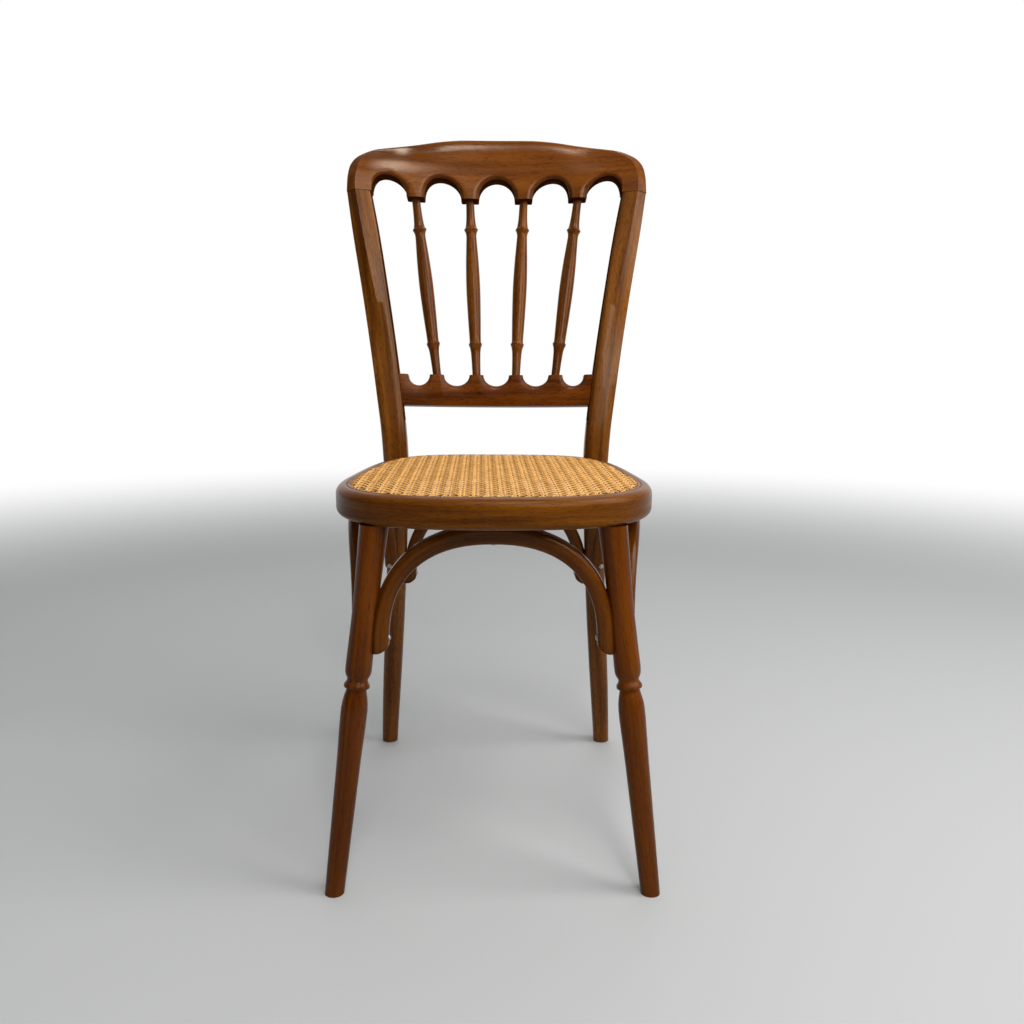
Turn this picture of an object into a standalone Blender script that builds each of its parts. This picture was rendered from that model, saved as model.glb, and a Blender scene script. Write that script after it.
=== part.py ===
"""Spindle back dining chair with a round cane seat.

A bent wooden seat ring carries the cane. Two bent rear posts run from the floor past the ring to the crest
rail, and four turned spindles stand between a scalloped lower rail and the crest. Two turned front legs are
tenoned into the ring, and four bent arches brace the legs under it.

Metres, +Z up. The chair faces -Y and stands on Z = 0. While it is built, Y = 0 is the widest line of the cane;
at the end the empty that carries everything is moved so that the chair's plan box is centred on the origin.
"""

import math

import bmesh
import bpy
from mathutils import Matrix, Vector

for leftover in list(bpy.data.objects):
    bpy.data.objects.remove(leftover, do_unlink=True)


# Fits

FIT_GAP = 0.0003
SEAT_HEIGHT = 0.455

# Seat ring and cane

RING_THICKNESS = 0.0355
RIM_WIDTH = 0.0130
LEDGE_WIDTH = 0.0215
RIM_TOP_ROUND = 0.0075
RIM_BOTTOM_ROUND = 0.0065
LEDGE_ROUND = 0.003
CANE_HALF_WIDTH = 0.1728
CANE_FRONT_REACH = 0.1675
CANE_BACK_REACH = 0.2212
CANE_TAPER = 0.143
CANE_FRONT_POWER = 2.70
CANE_BACK_POWER = 4.05
CANE_THICKNESS = 0.0016
GROOVE_WIDTH = 0.005
GROOVE_DEPTH = 0.007
BINDER_CROWN = 0.0007
WEAVE_PITCH = 0.0152
NET_CELL = 2 * WEAVE_PITCH
NET_GAP_SHARE = 0.56
NET_BAND = 0.008
NET_TURN = math.radians(1.3)
RING_STEPS = 64

# Rear posts: places are shares of the ring's half width, of its back reach and of the post's height

POST_SEAT_X_SHARE = 0.7858
POST_FOOT_X_SHARE = 0.8961
POST_FOOT_Y_SHARE = 1.0193
POST_TOP_X_SHARE = 1.0770
POST_BEND = 0.050
POST_UNDER_X_SHARE = 0.7766
POST_UNDER_Y_SHARE = 0.8365
POST_FOOT_SLOPE = -0.19
POST_UNDER_SLOPE = -0.02
POST_OVER_SPLAY = 0.12
POST_TOP_SPLAY = 0.175
POST_WIDTH = 0.0372
POST_DEPTH = 0.030
# height, width, depth, roundness, facet width and facet depth, each as a share
POST_TABLE_SHARES = (
    (0.000, 0.645, 0.80, 1.00, 0.00, 0.00),
    (0.145, 0.755, 0.92, 1.00, 0.00, 0.00),
    (0.385, 0.800, 0.97, 0.96, 0.00, 0.00),
    (0.486, 0.880, 1.00, 0.85, 0.00, 0.00),
    (0.545, 0.960, 1.00, 0.66, 0.00, 0.00),
    (0.612, 0.973, 0.99, 0.55, 0.60, 0.05),
    (0.700, 0.975, 0.96, 0.42, 0.68, 0.18),
    (0.830, 0.992, 0.92, 0.30, 0.50, 0.36),
    (0.930, 1.000, 0.89, 0.26, 0.41, 0.42),
    (1.000, 0.930, 0.867, 0.24, 0.36, 0.46),
)
POST_STATIONS = 25
CORNER_POINTS = 5

# Back: the plane of the back leans by the rake, and heights on it are measured along that plane

RAKE = math.radians(11.5)
BACK_FOOT_Y_SHARE = 0.8198
BACK_JOINT = 0.3855
CREST_RISE = 0.0834
CREST_THICKNESS = 0.026
CREST_SAG = 0.025
CREST_SAG_REACH_SHARE = 0.909
CREST_HALF_SHARE = 1.1722
CREST_EDGE_ROUND = 0.003
# x share of the half width, height share of the rise
CREST_TOP_SHARES = (
    (0.000, 1.000), (0.136, 0.994), (0.254, 0.980), (0.389, 0.936), (0.524, 0.867), (0.658, 0.793),
    (0.757, 0.737), (0.806, 0.704), (0.853, 0.658), (0.893, 0.603), (0.925, 0.540), (0.950, 0.465),
    (0.971, 0.380), (0.986, 0.285), (0.996, 0.150), (1.000, 0.000),
)
PENDANT_DROP = 0.0048
PENDANT_STRAIGHT = 0.0040
PENDANT_SHARE = 0.3325
SPINDLE_TOP_PITCH_SHARE = 0.3645
ARCH_STEPS = 8
RAIL_BOTTOM = 0.0748
RAIL_HEIGHT = 0.0448
RAIL_THICKNESS = 0.022
RAIL_SAG = 0.011
RAIL_EDGE_ROUND = 0.003
RAIL_TOOTH_SHARE = 0.36
SPINDLE_FOOT_PITCH_SHARE = 0.3094

# Spindles

SPINDLE_DIAMETER = 0.0204
SPINDLE_PIN = 0.012
# height and diameter, each as a share
SPINDLE_SHARES = (
    (0.000, 0.590), (0.070, 0.625), (0.137, 0.700), (0.166, 0.830), (0.178, 0.955), (0.186, 0.955), (0.196, 0.835),
    (0.342, 0.925), (0.500, 1.000), (0.640, 0.900), (0.798, 0.720), (0.828, 0.840), (0.838, 0.985), (0.846, 0.985),
    (0.857, 0.740), (0.900, 0.625), (1.000, 0.550),
)

# Front legs: heights are shares of the height under the ring

LEG_TOP_X_SHARE = 0.7223
LEG_TOP_Y_SHARE = 0.7313
LEG_FOOT_X_SHARE = 0.9730
LEG_FOOT_Y_SHARE = 1.0394
LEG_DIAMETER = 0.0333
LEG_SHARES = (
    (1.000, 1.000), (0.880, 0.915), (0.779, 0.859), (0.690, 0.874), (0.616, 0.907), (0.594, 0.880), (0.584, 0.715),
    (0.580, 0.700), (0.576, 0.840), (0.570, 0.872), (0.564, 0.845), (0.562, 0.870), (0.555, 0.870), (0.552, 0.680),
    (0.540, 0.830), (0.506, 0.904), (0.443, 0.885), (0.372, 0.829), (0.181, 0.743), (0.000, 0.668),
)
TENON_DIAMETER = 0.018
TENON_LENGTH = 0.020

# Bent arches under the seat

ARCH_DIAMETER = 0.0195
ARCH_CROWN_SWELL = 1.20
ARCH_DROP = 0.1275
ARCH_OVERLAP = 0.0022
ARCH_POWER_ACROSS = 1.9
FRONT_ARCH_POWER_ACROSS = 2.25
ARCH_POWER_UP = 2.6
BACK_ARCH_DIAMETER = 0.018
BACK_ARCH_DROP = 0.1395
SIDE_ARCH_DIAMETER = 0.0195
SIDE_ARCH_DROP = 0.1120
SIDE_ARCH_OUT = 0.0052
SIDE_ARCH_BOW_SHARE = 0.121
SIDE_ARCH_POWER = 1.5
PATH_STEPS = 22

# Fasteners

SCREW_HEAD_DIAMETER = 0.0080
SCREW_HEAD_HEIGHT = 0.0022
SCREW_SHAFT_DIAMETER = 0.0040
SCREW_REACH = 0.006
SCREW_RISE = 0.012
BOLT_HEAD_DIAMETER = 0.0120
BOLT_HEAD_HEIGHT = 0.0030
BOLT_SHAFT_DIAMETER = 0.0060
BOLT_LENGTH = 0.050
DOWEL_DIAMETER = 0.0080
DOWEL_LENGTH = 0.030
DOWEL_SPREAD_SHARE = 0.25

# Colours: linear red, green and blue of the finish, then roughness and metallic value

STAINED_BEECH = (0.165, 0.062, 0.020, 0.32, 0.0)
RATTAN_CANE = (0.640, 0.390, 0.145, 0.50, 0.0)
ZINC_STEEL = (0.500, 0.490, 0.470, 0.30, 1.0)
BARE_BEECH = (0.560, 0.380, 0.220, 0.60, 0.0)

# Derived places

RING_UNDERSIDE = SEAT_HEIGHT - RING_THICKNESS
RING_HALF_WIDTH = CANE_HALF_WIDTH + RIM_WIDTH
RING_FRONT_REACH = CANE_FRONT_REACH + RIM_WIDTH
RING_BACK_REACH = CANE_BACK_REACH + RIM_WIDTH
BACK_FOOT_Y = BACK_FOOT_Y_SHARE * RING_BACK_REACH
CREST_HALF = CREST_HALF_SHARE * RING_HALF_WIDTH
CREST_SAG_REACH = CREST_SAG_REACH_SHARE * CREST_HALF
SPINDLE_TOP_PITCH = SPINDLE_TOP_PITCH_SHARE * CREST_HALF
SPINDLE_FOOT_PITCH = SPINDLE_FOOT_PITCH_SHARE * RING_HALF_WIDTH
POST_TOP_X = POST_TOP_X_SHARE * RING_HALF_WIDTH
POST_TOP_Z = SEAT_HEIGHT + BACK_JOINT * math.cos(RAKE)
PENDANT_FOOT = BACK_JOINT - PENDANT_DROP
RAIL_TOP = RAIL_BOTTOM + RAIL_HEIGHT


# Collections, materials and small tools

chair = bpy.data.collections.new("spindle_back_chair")
cutters = bpy.data.collections.new("cutters")
bpy.context.scene.collection.children.link(chair)
bpy.context.scene.collection.children.link(cutters)
origin = bpy.data.objects.new("chair_origin", None)
chair.objects.link(origin)


def finish(name, look):
    """Make the material of one part from a colour, a roughness and a metallic value."""
    material = bpy.data.materials.new(name + "_finish")
    material.use_nodes = True
    shader = material.node_tree.nodes["Principled BSDF"]
    shader.inputs["Base Color"].default_value = (look[0], look[1], look[2], 1.0)
    shader.inputs["Roughness"].default_value = look[3]
    shader.inputs["Metallic"].default_value = look[4]
    material.diffuse_color = (look[0], look[1], look[2], 1.0)
    return material


def mesh_from(shape, name):
    """Turn a finished bmesh into a mesh with its faces pointing out."""
    bmesh.ops.remove_doubles(shape, verts=shape.verts[:], dist=1e-6)
    bmesh.ops.recalc_face_normals(shape, faces=shape.faces[:])
    mesh = bpy.data.meshes.new(name)
    shape.to_mesh(mesh)
    shape.free()
    return mesh


def add_part(name, mesh, look, smooth_angle=40.0):
    """Add one piece of the chair."""
    piece = bpy.data.objects.new(name, mesh)
    mesh.materials.clear()
    mesh.materials.append(finish(name, look))
    mesh.shade_smooth()
    mesh.set_sharp_from_angle(angle=math.radians(smooth_angle))
    chair.objects.link(piece)
    piece.parent = origin
    return piece


def add_cutter(name, mesh):
    """Add a shape that only takes wood away."""
    cutter = bpy.data.objects.new(name, mesh)
    cutters.objects.link(cutter)
    cutter.parent = origin
    cutter.hide_render = True
    cutter.display_type = "WIRE"
    return cutter


def cut(piece, cutter):
    """Take a cutter's shape out of a piece."""
    change = piece.modifiers.new("cut_" + cutter.name, "BOOLEAN")
    change.operation = "DIFFERENCE"
    change.solver = "EXACT"
    change.object = cutter


def curve_mesh(curve, name):
    """Make a curve a welded mesh, and remove the curve."""
    holder = bpy.data.objects.new(name, curve)
    bpy.context.scene.collection.objects.link(holder)
    evaluated = holder.evaluated_get(bpy.context.evaluated_depsgraph_get())
    mesh = bpy.data.meshes.new_from_object(evaluated)
    bpy.data.objects.remove(holder, do_unlink=True)
    shape = bmesh.new()
    shape.from_mesh(mesh)
    bpy.data.meshes.remove(mesh)
    bmesh.ops.remove_doubles(shape, verts=shape.verts[:], dist=1e-5)
    bmesh.ops.recalc_face_normals(shape, faces=shape.faces[:])
    return shape


def poly_curve(name, outlines, cyclic, dimensions):
    """Make a curve of straight steps from lists of points."""
    curve = bpy.data.curves.new(name, "CURVE")
    curve.dimensions = dimensions
    for outline in outlines:
        spline = curve.splines.new("POLY")
        spline.points.add(len(outline) - 1)
        for point, place in zip(spline.points, outline):
            point.co = (place[0], place[1], place[2] if len(place) > 2 else 0.0, 1.0)
        spline.use_cyclic_u = cyclic
    return curve


def plate(name, outlines, thickness):
    """Make a flat plate, centred on its own plane, from an outline and the outlines of its holes."""
    curve = poly_curve(name, outlines, True, "2D")
    curve.fill_mode = "BOTH"
    curve.extrude = thickness / 2
    return curve_mesh(curve, name)


def turned(profile, sides):
    """Turn a profile of (radius, height) pairs, listed from the top down, round the Z axis."""
    shape = bmesh.new()
    line = [shape.verts.new((radius, 0.0, height)) for radius, height in profile]
    edges = [shape.edges.new(pair) for pair in zip(line, line[1:])]
    bmesh.ops.spin(
        shape, geom=line + edges, cent=(0, 0, 0), axis=(0, 0, 1), dvec=(0, 0, 0), angle=math.tau, steps=sides,
        use_merge=True, use_normal_flip=False, use_duplicate=False,
    )
    bmesh.ops.remove_doubles(shape, verts=shape.verts[:], dist=1e-6)
    bmesh.ops.recalc_face_normals(shape, faces=shape.faces[:])
    return shape


def aim(place, direction):
    """Matrix that carries +Z to a direction, at a place."""
    return Matrix.Translation(place) @ Vector(direction).to_track_quat("Z", "Y").to_matrix().to_4x4()


def slice_off(shape, place, normal):
    """Cut a closed shape with a plane, drop the side the normal points to, and close it."""
    geometry = shape.verts[:] + shape.edges[:] + shape.faces[:]
    result = bmesh.ops.bisect_plane(
        shape, geom=geometry, dist=1e-7, plane_co=place, plane_no=normal, clear_outer=True, clear_inner=False,
    )
    edges = [item for item in result["geom_cut"] if isinstance(item, bmesh.types.BMEdge)]
    filled = bmesh.ops.contextual_create(shape, geom=edges)
    return filled["faces"]


def hermite(share, start, start_slope, end, end_slope, span):
    """Smooth value between two ends whose slopes are known."""
    s2 = share * share
    s3 = s2 * share
    return (
        (2 * s3 - 3 * s2 + 1) * start + (s3 - 2 * s2 + share) * start_slope * span
        + (3 * s2 - 2 * s3) * end + (s3 - s2) * end_slope * span
    )


def smooth_step(value, low, high):
    """Rise smoothly from 0 to 1 between two values."""
    share = min(1.0, max(0.0, (value - low) / (high - low)))
    return share * share * (3 - 2 * share)


def table_value(table, share, column):
    """Read a table of rows that start with a share, with smooth steps between its rows."""
    for low, high in zip(table, table[1:]):
        if share <= high[0]:
            part = (share - low[0]) / (high[0] - low[0])
            return low[column] + (high[column] - low[column]) * part
    return table[-1][column]


# Seat: outline, ring, cane and binder

def cane_outline(offset, count):
    """Points of the cane's edge in plan, moved outwards by an offset and evenly spaced."""
    dense = []
    fine = 960
    for index in range(fine):
        angle = math.tau * index / fine
        across = math.cos(angle)
        along = math.sin(angle)
        reach = CANE_BACK_REACH if along > 0 else CANE_FRONT_REACH
        power = CANE_BACK_POWER if along > 0 else CANE_FRONT_POWER
        spread = (abs(across) / CANE_HALF_WIDTH) ** power + (abs(along) / reach) ** power
        radius = spread ** (-1 / power)
        y = radius * along
        dense.append(Vector((radius * across * (1 - CANE_TAPER * y / CANE_BACK_REACH), y)))
    moved = []
    for index, point in enumerate(dense):
        step = dense[(index + 1) % fine] - dense[index - 1]
        moved.append(point + Vector((step.y, -step.x)).normalized() * offset)
    lengths = [0.0]
    for index in range(fine):
        lengths.append(lengths[-1] + (moved[(index + 1) % fine] - moved[index]).length)
    spaced = []
    index = 0
    for number in range(count):
        target = lengths[-1] * number / count
        while lengths[index + 1] < target:
            index += 1
        part = (target - lengths[index]) / (lengths[index + 1] - lengths[index])
        spaced.append(moved[index].lerp(moved[(index + 1) % fine], part))
    return spaced


def rounded(corners):
    """Points of an outline whose corners (x, y, radius, steps) are rounded."""
    points = []
    count = len(corners)
    for index, (x, y, radius, steps) in enumerate(corners):
        corner = Vector((x, y))
        if radius <= 0 or steps < 1:
            points.append(corner)
            continue
        before = (Vector(corners[index - 1][:2]) - corner).normalized()
        after = (Vector(corners[(index + 1) % count][:2]) - corner).normalized()
        half_turn = before.angle(after) / 2
        set_back = radius / math.tan(half_turn)
        centre = corner + (before + after).normalized() * radius / math.sin(half_turn)
        first = corner + before * set_back - centre
        last = corner + after * set_back - centre
        for step in range(steps + 1):
            share = step / steps
            points.append(centre + (first.lerp(last, share)).normalized() * radius)
    return points


def swept_ring(name, section):
    """Sweep a section, with +X outwards and +Y up, round the cane's edge at seat height."""
    profile = poly_curve(name + "_section", [[(-point.x, point.y) for point in section]], True, "2D")
    profile_holder = bpy.data.objects.new(name + "_section", profile)
    bpy.context.scene.collection.objects.link(profile_holder)
    path = poly_curve(name, [[(point.x, point.y) for point in cane_outline(0.0, RING_STEPS)]], True, "2D")
    path.bevel_mode = "OBJECT"
    path.bevel_object = profile_holder
    shape = curve_mesh(path, name)
    bpy.data.objects.remove(profile_holder, do_unlink=True)
    bmesh.ops.translate(shape, verts=shape.verts[:], vec=(0, 0, SEAT_HEIGHT))
    return shape


def make_seat_ring():
    """Bent ring with a rounded rim, a ledge under the cane and a groove for the binder."""
    rebate = CANE_THICKNESS + FIT_GAP
    section = rounded((
        (-LEDGE_WIDTH, -rebate, 0.0, 0),
        (-LEDGE_WIDTH, -RING_THICKNESS, LEDGE_ROUND, 2),
        (RIM_WIDTH, -RING_THICKNESS, RIM_BOTTOM_ROUND, 4),
        (RIM_WIDTH, 0.0, RIM_TOP_ROUND, 5),
        (0.0, 0.0, 0.0, 0),
        (0.0, -GROOVE_DEPTH, 0.0, 0),
        (-GROOVE_WIDTH, -GROOVE_DEPTH, 0.0, 0),
        (-GROOVE_WIDTH, -rebate, 0.0, 0),
    ))
    return add_part("seat_ring", mesh_from(swept_ring("seat_ring", section), "seat_ring"), STAINED_BEECH)


def make_cane_binder():
    """Reed pressed into the groove round the cane."""
    crown = BINDER_CROWN + FIT_GAP
    section = rounded((
        (-GROOVE_WIDTH + FIT_GAP, FIT_GAP - GROOVE_DEPTH, 0.0, 0),
        (-FIT_GAP, FIT_GAP - GROOVE_DEPTH, 0.0, 0),
        (-FIT_GAP, crown, crown, 2),
        (-GROOVE_WIDTH + FIT_GAP, crown, crown, 2),
    ))
    return add_part("cane_binder", mesh_from(swept_ring("cane_binder", section), "cane_binder"), RATTAN_CANE)


def make_cane_panel():
    """Woven cane as a flat net: a band round the edge and a lattice turned a little in the ring."""
    edge = cane_outline(-GROOVE_WIDTH, RING_STEPS)
    inner = cane_outline(-GROOVE_WIDTH - NET_BAND, 4 * RING_STEPS)
    panel = plate("cane_panel", [[(point.x, point.y) for point in edge]], CANE_THICKNESS)
    bmesh.ops.translate(panel, verts=panel.verts[:], vec=(0, 0, SEAT_HEIGHT - CANE_THICKNESS / 2))
    turn = Matrix.Rotation(NET_TURN, 4, "Z")
    half_gap = NET_CELL * NET_GAP_SHARE / 2
    across = int(RING_HALF_WIDTH / NET_CELL) + 1
    along = int(RING_BACK_REACH / NET_CELL) + 1
    meshes = bmesh.new()
    for row in range(-along, along + 1):
        for column in range(-across, across + 1):
            centre = Vector((column * NET_CELL, row * NET_CELL, 0))
            corners = [
                turn @ (centre + Vector((half_gap * sx, half_gap * sy, 0)))
                for sx, sy in ((-1, -1), (1, -1), (1, 1), (-1, 1))
            ]
            if all(inside(inner, corner) for corner in corners):
                place = Matrix.Translation((0, 0, SEAT_HEIGHT)) @ turn @ Matrix.Translation(centre)
                size = Matrix.Diagonal((2 * half_gap, 2 * half_gap, 4 * CANE_THICKNESS, 1))
                bmesh.ops.create_cube(meshes, size=1.0, matrix=place @ size)
    piece = add_part("cane_panel", mesh_from(panel, "cane_panel"), RATTAN_CANE)
    cut(piece, add_cutter("cane_meshes", mesh_from(meshes, "cane_meshes")))
    return piece


def inside(outline, point):
    """Tell whether a point is within a closed outline."""
    hit = False
    for first, second in zip(outline, outline[1:] + outline[:1]):
        if (first.y > point.y) != (second.y > point.y):
            if point.x < first.x + (point.y - first.y) / (second.y - first.y) * (second.x - first.x):
                hit = not hit
    return hit


# Back: places on the raked plane

def sag_at(x, sag, reach):
    """How far a curved rail stands behind its own ends."""
    return sag * (1 - (x / reach) ** 2)


def on_back(x, height, behind):
    """World place of a point on the raked back plane."""
    return Vector((
        x,
        BACK_FOOT_Y + height * math.sin(RAKE) + behind * math.cos(RAKE),
        SEAT_HEIGHT + height * math.cos(RAKE) - behind * math.sin(RAKE),
    ))


def bend_to_back(shape, sag, reach, stations):
    """Carry a flat rail, drawn in X and height, to the raked plane and bend it round the sitter."""
    for number in range(-stations + 1, stations):
        bmesh.ops.bisect_plane(
            shape, geom=shape.verts[:] + shape.edges[:] + shape.faces[:], dist=1e-6,
            plane_co=(reach * number / stations, 0, 0), plane_no=(1, 0, 0),
        )
    for vert in shape.verts:
        x, height, behind = vert.co
        vert.co = on_back(x, height, behind + sag_at(x, sag, reach))


def round_outline(shape, half_thickness, offset, keep):
    """Bevel the long edges of a flat rail, except those that keep(edge) holds."""
    edges = [
        edge for edge in shape.edges
        if all(abs(abs(vert.co.z) - half_thickness) < 1e-6 for vert in edge.verts)
        and edge.verts[0].co.z * edge.verts[1].co.z > 0
        and len(edge.link_faces) == 2
        and edge.calc_face_angle() > 1.0
        and not keep(edge)
    ]
    bmesh.ops.bevel(
        shape, geom=edges, offset=offset, segments=1, profile=0.5, affect="EDGES", clamp_overlap=True, material=-1,
    )


def arc(centre_x, centre_height, half_width, rise, start, end, steps):
    """Points of a half ellipse between two angles."""
    points = []
    for step in range(steps + 1):
        angle = start + (end - start) * step / steps
        points.append((centre_x + half_width * math.cos(angle), centre_height + rise * math.sin(angle)))
    return points


def make_crest_rail():
    """Sawn crest with an ogee top, five arches and four pendants that take the spindles."""
    foot = BACK_JOINT + FIT_GAP / 2
    right = [(CREST_HALF * x, foot + CREST_RISE * rise) for x, rise in CREST_TOP_SHARES]
    outline = [(-x, height) for x, height in reversed(right)] + right[1:]
    pendant = PENDANT_SHARE * SPINDLE_TOP_PITCH
    half_arch = (SPINDLE_TOP_PITCH - pendant) / 2
    spring = PENDANT_FOOT + PENDANT_STRAIGHT
    post_inner = POST_TOP_X - POST_WIDTH / 2
    outer_half = (post_inner - SPINDLE_TOP_PITCH * 1.5 - pendant / 2) / 2
    outline.append((post_inner, foot))
    for number in (2, 1, 0, -1, -2):
        centre = number * SPINDLE_TOP_PITCH
        half = half_arch
        if abs(number) == 2:
            centre = math.copysign(post_inner - outer_half, number)
            half = outer_half
        points = arc(centre, spring, half, half_arch, 0.0, math.pi, ARCH_STEPS)
        if number == 2:
            points = [point for point in points[1:] if point[1] > foot] + [points[-1]]
        if number == -2:
            points = [points[0]] + [point for point in points[:-1] if point[1] > foot]
        outline.extend(points if abs(number) != 2 else dict.fromkeys(points))
        if number > -2:
            edge = centre - half
            outline.append((edge, PENDANT_FOOT))
            outline.append((edge - pendant, PENDANT_FOOT))
    outline.append((-post_inner, foot))
    shape = plate("crest_rail", [outline], CREST_THICKNESS)
    round_outline(
        shape, CREST_THICKNESS / 2, CREST_EDGE_ROUND,
        lambda edge: all(abs(vert.co.y - foot) < 1e-6 for vert in edge.verts),
    )
    facet_width = POST_TABLE_SHARES[-1][4] * POST_WIDTH
    facet_depth = POST_TABLE_SHARES[-1][5] * POST_DEPTH
    for side in (-1, 1):
        slice_off(
            shape, (side * (CREST_HALF - facet_width), 0, -CREST_THICKNESS / 2),
            Vector((side * facet_depth, 0, -facet_width)),
        )
    bend_to_back(shape, CREST_SAG, CREST_SAG_REACH, 12)
    return add_part("crest_rail", mesh_from(shape, "crest_rail"), STAINED_BEECH, 32.0)


def make_lower_rail():
    """Sawn lower rail with a straight underside and five scallops between the spindle seats."""
    tooth = RAIL_TOOTH_SHARE * SPINDLE_FOOT_PITCH
    half = (SPINDLE_FOOT_PITCH - tooth) / 2
    reach = post_station(RAIL_BOTTOM)[0].x
    stub = 2.5 * SPINDLE_FOOT_PITCH - half * 0.9
    outer_half = (stub - 1.5 * SPINDLE_FOOT_PITCH - tooth / 2) / 2
    outline = [(-reach, RAIL_BOTTOM), (reach, RAIL_BOTTOM), (reach, RAIL_TOP)]
    for number in (2, 1, 0, -1, -2):
        centre = number * SPINDLE_FOOT_PITCH
        width = half
        if abs(number) == 2:
            centre = math.copysign(stub - outer_half, number)
            width = outer_half
        outline.extend(arc(centre, RAIL_TOP, width, half * 0.93, math.tau, math.pi, ARCH_STEPS))
    outline.append((-reach, RAIL_TOP))
    shape = plate("lower_rail", [outline], RAIL_THICKNESS)
    round_outline(
        shape, RAIL_THICKNESS / 2, RAIL_EDGE_ROUND,
        lambda edge: all(abs(abs(vert.co.x) - reach) < 1e-6 for vert in edge.verts),
    )
    bend_to_back(shape, RAIL_SAG, reach, 8)
    return add_part("lower_rail", mesh_from(shape, "lower_rail"), STAINED_BEECH, 32.0)


# Rear posts

def post_station(height_on_back):
    """Centre of the right rear post, and its share of the post's height, at a height on the back plane."""
    z = SEAT_HEIGHT + height_on_back * math.cos(RAKE)
    return post_centre(z), z / POST_TOP_Z


def post_centre(z):
    """Centre line of the right rear post: a splayed leg, a bend at the seat and a raked upper part."""
    foot_x = POST_FOOT_X_SHARE * RING_HALF_WIDTH
    foot_y = POST_FOOT_Y_SHARE * RING_BACK_REACH
    under_x = POST_UNDER_X_SHARE * RING_HALF_WIDTH
    under_y = POST_UNDER_Y_SHARE * RING_BACK_REACH
    over_x = POST_SEAT_X_SHARE * RING_HALF_WIDTH + POST_BEND * POST_OVER_SPLAY / 2
    under_z = SEAT_HEIGHT - POST_BEND
    over_z = SEAT_HEIGHT + POST_BEND
    lean = math.tan(RAKE)
    over_y = BACK_FOOT_Y + POST_BEND * lean
    if z <= under_z:
        share = z / under_z
        x = hermite(share, foot_x, -POST_OVER_SPLAY / 2, under_x, 0.0, under_z)
        y = hermite(share, foot_y, POST_FOOT_SLOPE, under_y, POST_UNDER_SLOPE, under_z)
    elif z <= over_z:
        share = (z - under_z) / (over_z - under_z)
        x = hermite(share, under_x, 0.0, over_x, POST_OVER_SPLAY, over_z - under_z)
        y = hermite(share, under_y, POST_UNDER_SLOPE, over_y, lean, over_z - under_z)
    else:
        span = POST_TOP_Z - over_z
        share = (z - over_z) / span
        x = hermite(share, over_x, POST_OVER_SPLAY, POST_TOP_X, POST_TOP_SPLAY, span)
        y = BACK_FOOT_Y + (z - SEAT_HEIGHT) * lean
    return Vector((x, y, z))


def post_section(share, grow):
    """Section of the right post as (outwards, behind) pairs: rounded corners and an outer front facet."""
    half_width = table_value(POST_TABLE_SHARES, share, 1) * POST_WIDTH / 2 + grow
    half_depth = table_value(POST_TABLE_SHARES, share, 2) * POST_DEPTH / 2 + grow
    roundness = table_value(POST_TABLE_SHARES, share, 3)
    facet_width = table_value(POST_TABLE_SHARES, share, 4) * POST_WIDTH
    facet_depth = table_value(POST_TABLE_SHARES, share, 5) * POST_DEPTH
    facet = smooth_step(share, 0.60, 0.72)
    points = []
    for corner, (sx, sy) in enumerate(((1, 1), (-1, 1), (-1, -1), (1, -1))):
        round_x = roundness * half_width
        round_y = roundness * half_depth
        for step in range(CORNER_POINTS):
            angle = math.pi / 2 * (corner + step / (CORNER_POINTS - 1))
            point = Vector((
                sx * (half_width - round_x) + round_x * math.cos(angle),
                sy * (half_depth - round_y) + round_y * math.sin(angle),
            ))
            if corner == 3 and facet > 0:
                line = (0.0, 0.05, 0.5, 0.95, 1.0)[step]
                start = Vector((half_width - facet_width, -half_depth))
                end = Vector((half_width, facet_depth - half_depth))
                point = point.lerp(start.lerp(end, line), facet)
            points.append(point)
    return points


def post_mesh(name, side, grow):
    """Loft one rear post through its sections; a grown copy cuts its neighbours."""
    shape = bmesh.new()
    top = POST_TOP_Z - FIT_GAP / 2 * math.cos(RAKE)
    rings = []
    for number in range(POST_STATIONS):
        z = top * number / (POST_STATIONS - 1)
        share = z / POST_TOP_Z
        centre = post_centre(z)
        tilt = RAKE * smooth_step(z, SEAT_HEIGHT - POST_BEND, SEAT_HEIGHT + POST_BEND)
        turn = smooth_step(z, SEAT_HEIGHT, POST_TOP_Z) * -2 * CREST_SAG * POST_TOP_X / CREST_SAG_REACH ** 2
        ring = []
        for out, behind in post_section(share, grow):
            back = behind + turn * out
            place = centre + Vector((out, back * math.cos(tilt), -back * math.sin(tilt)))
            ring.append(shape.verts.new((side * place.x, place.y, place.z)))
        rings.append(ring)
    count = len(rings[0])
    for low, high in zip(rings, rings[1:]):
        for index in range(count):
            after = (index + 1) % count
            shape.faces.new((low[index], low[after], high[after], high[index]))
    shape.faces.new(list(reversed(rings[0])))
    shape.faces.new(rings[-1])
    return mesh_from(shape, name)


# Turned pieces

def leg_place(side, z):
    """Centre of a front leg at a height."""
    share = z / RING_UNDERSIDE
    x = (LEG_FOOT_X_SHARE + (LEG_TOP_X_SHARE - LEG_FOOT_X_SHARE) * share) * RING_HALF_WIDTH
    y = -(LEG_FOOT_Y_SHARE + (LEG_TOP_Y_SHARE - LEG_FOOT_Y_SHARE) * share) * RING_FRONT_REACH
    return Vector((side * x, y, z))


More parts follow.
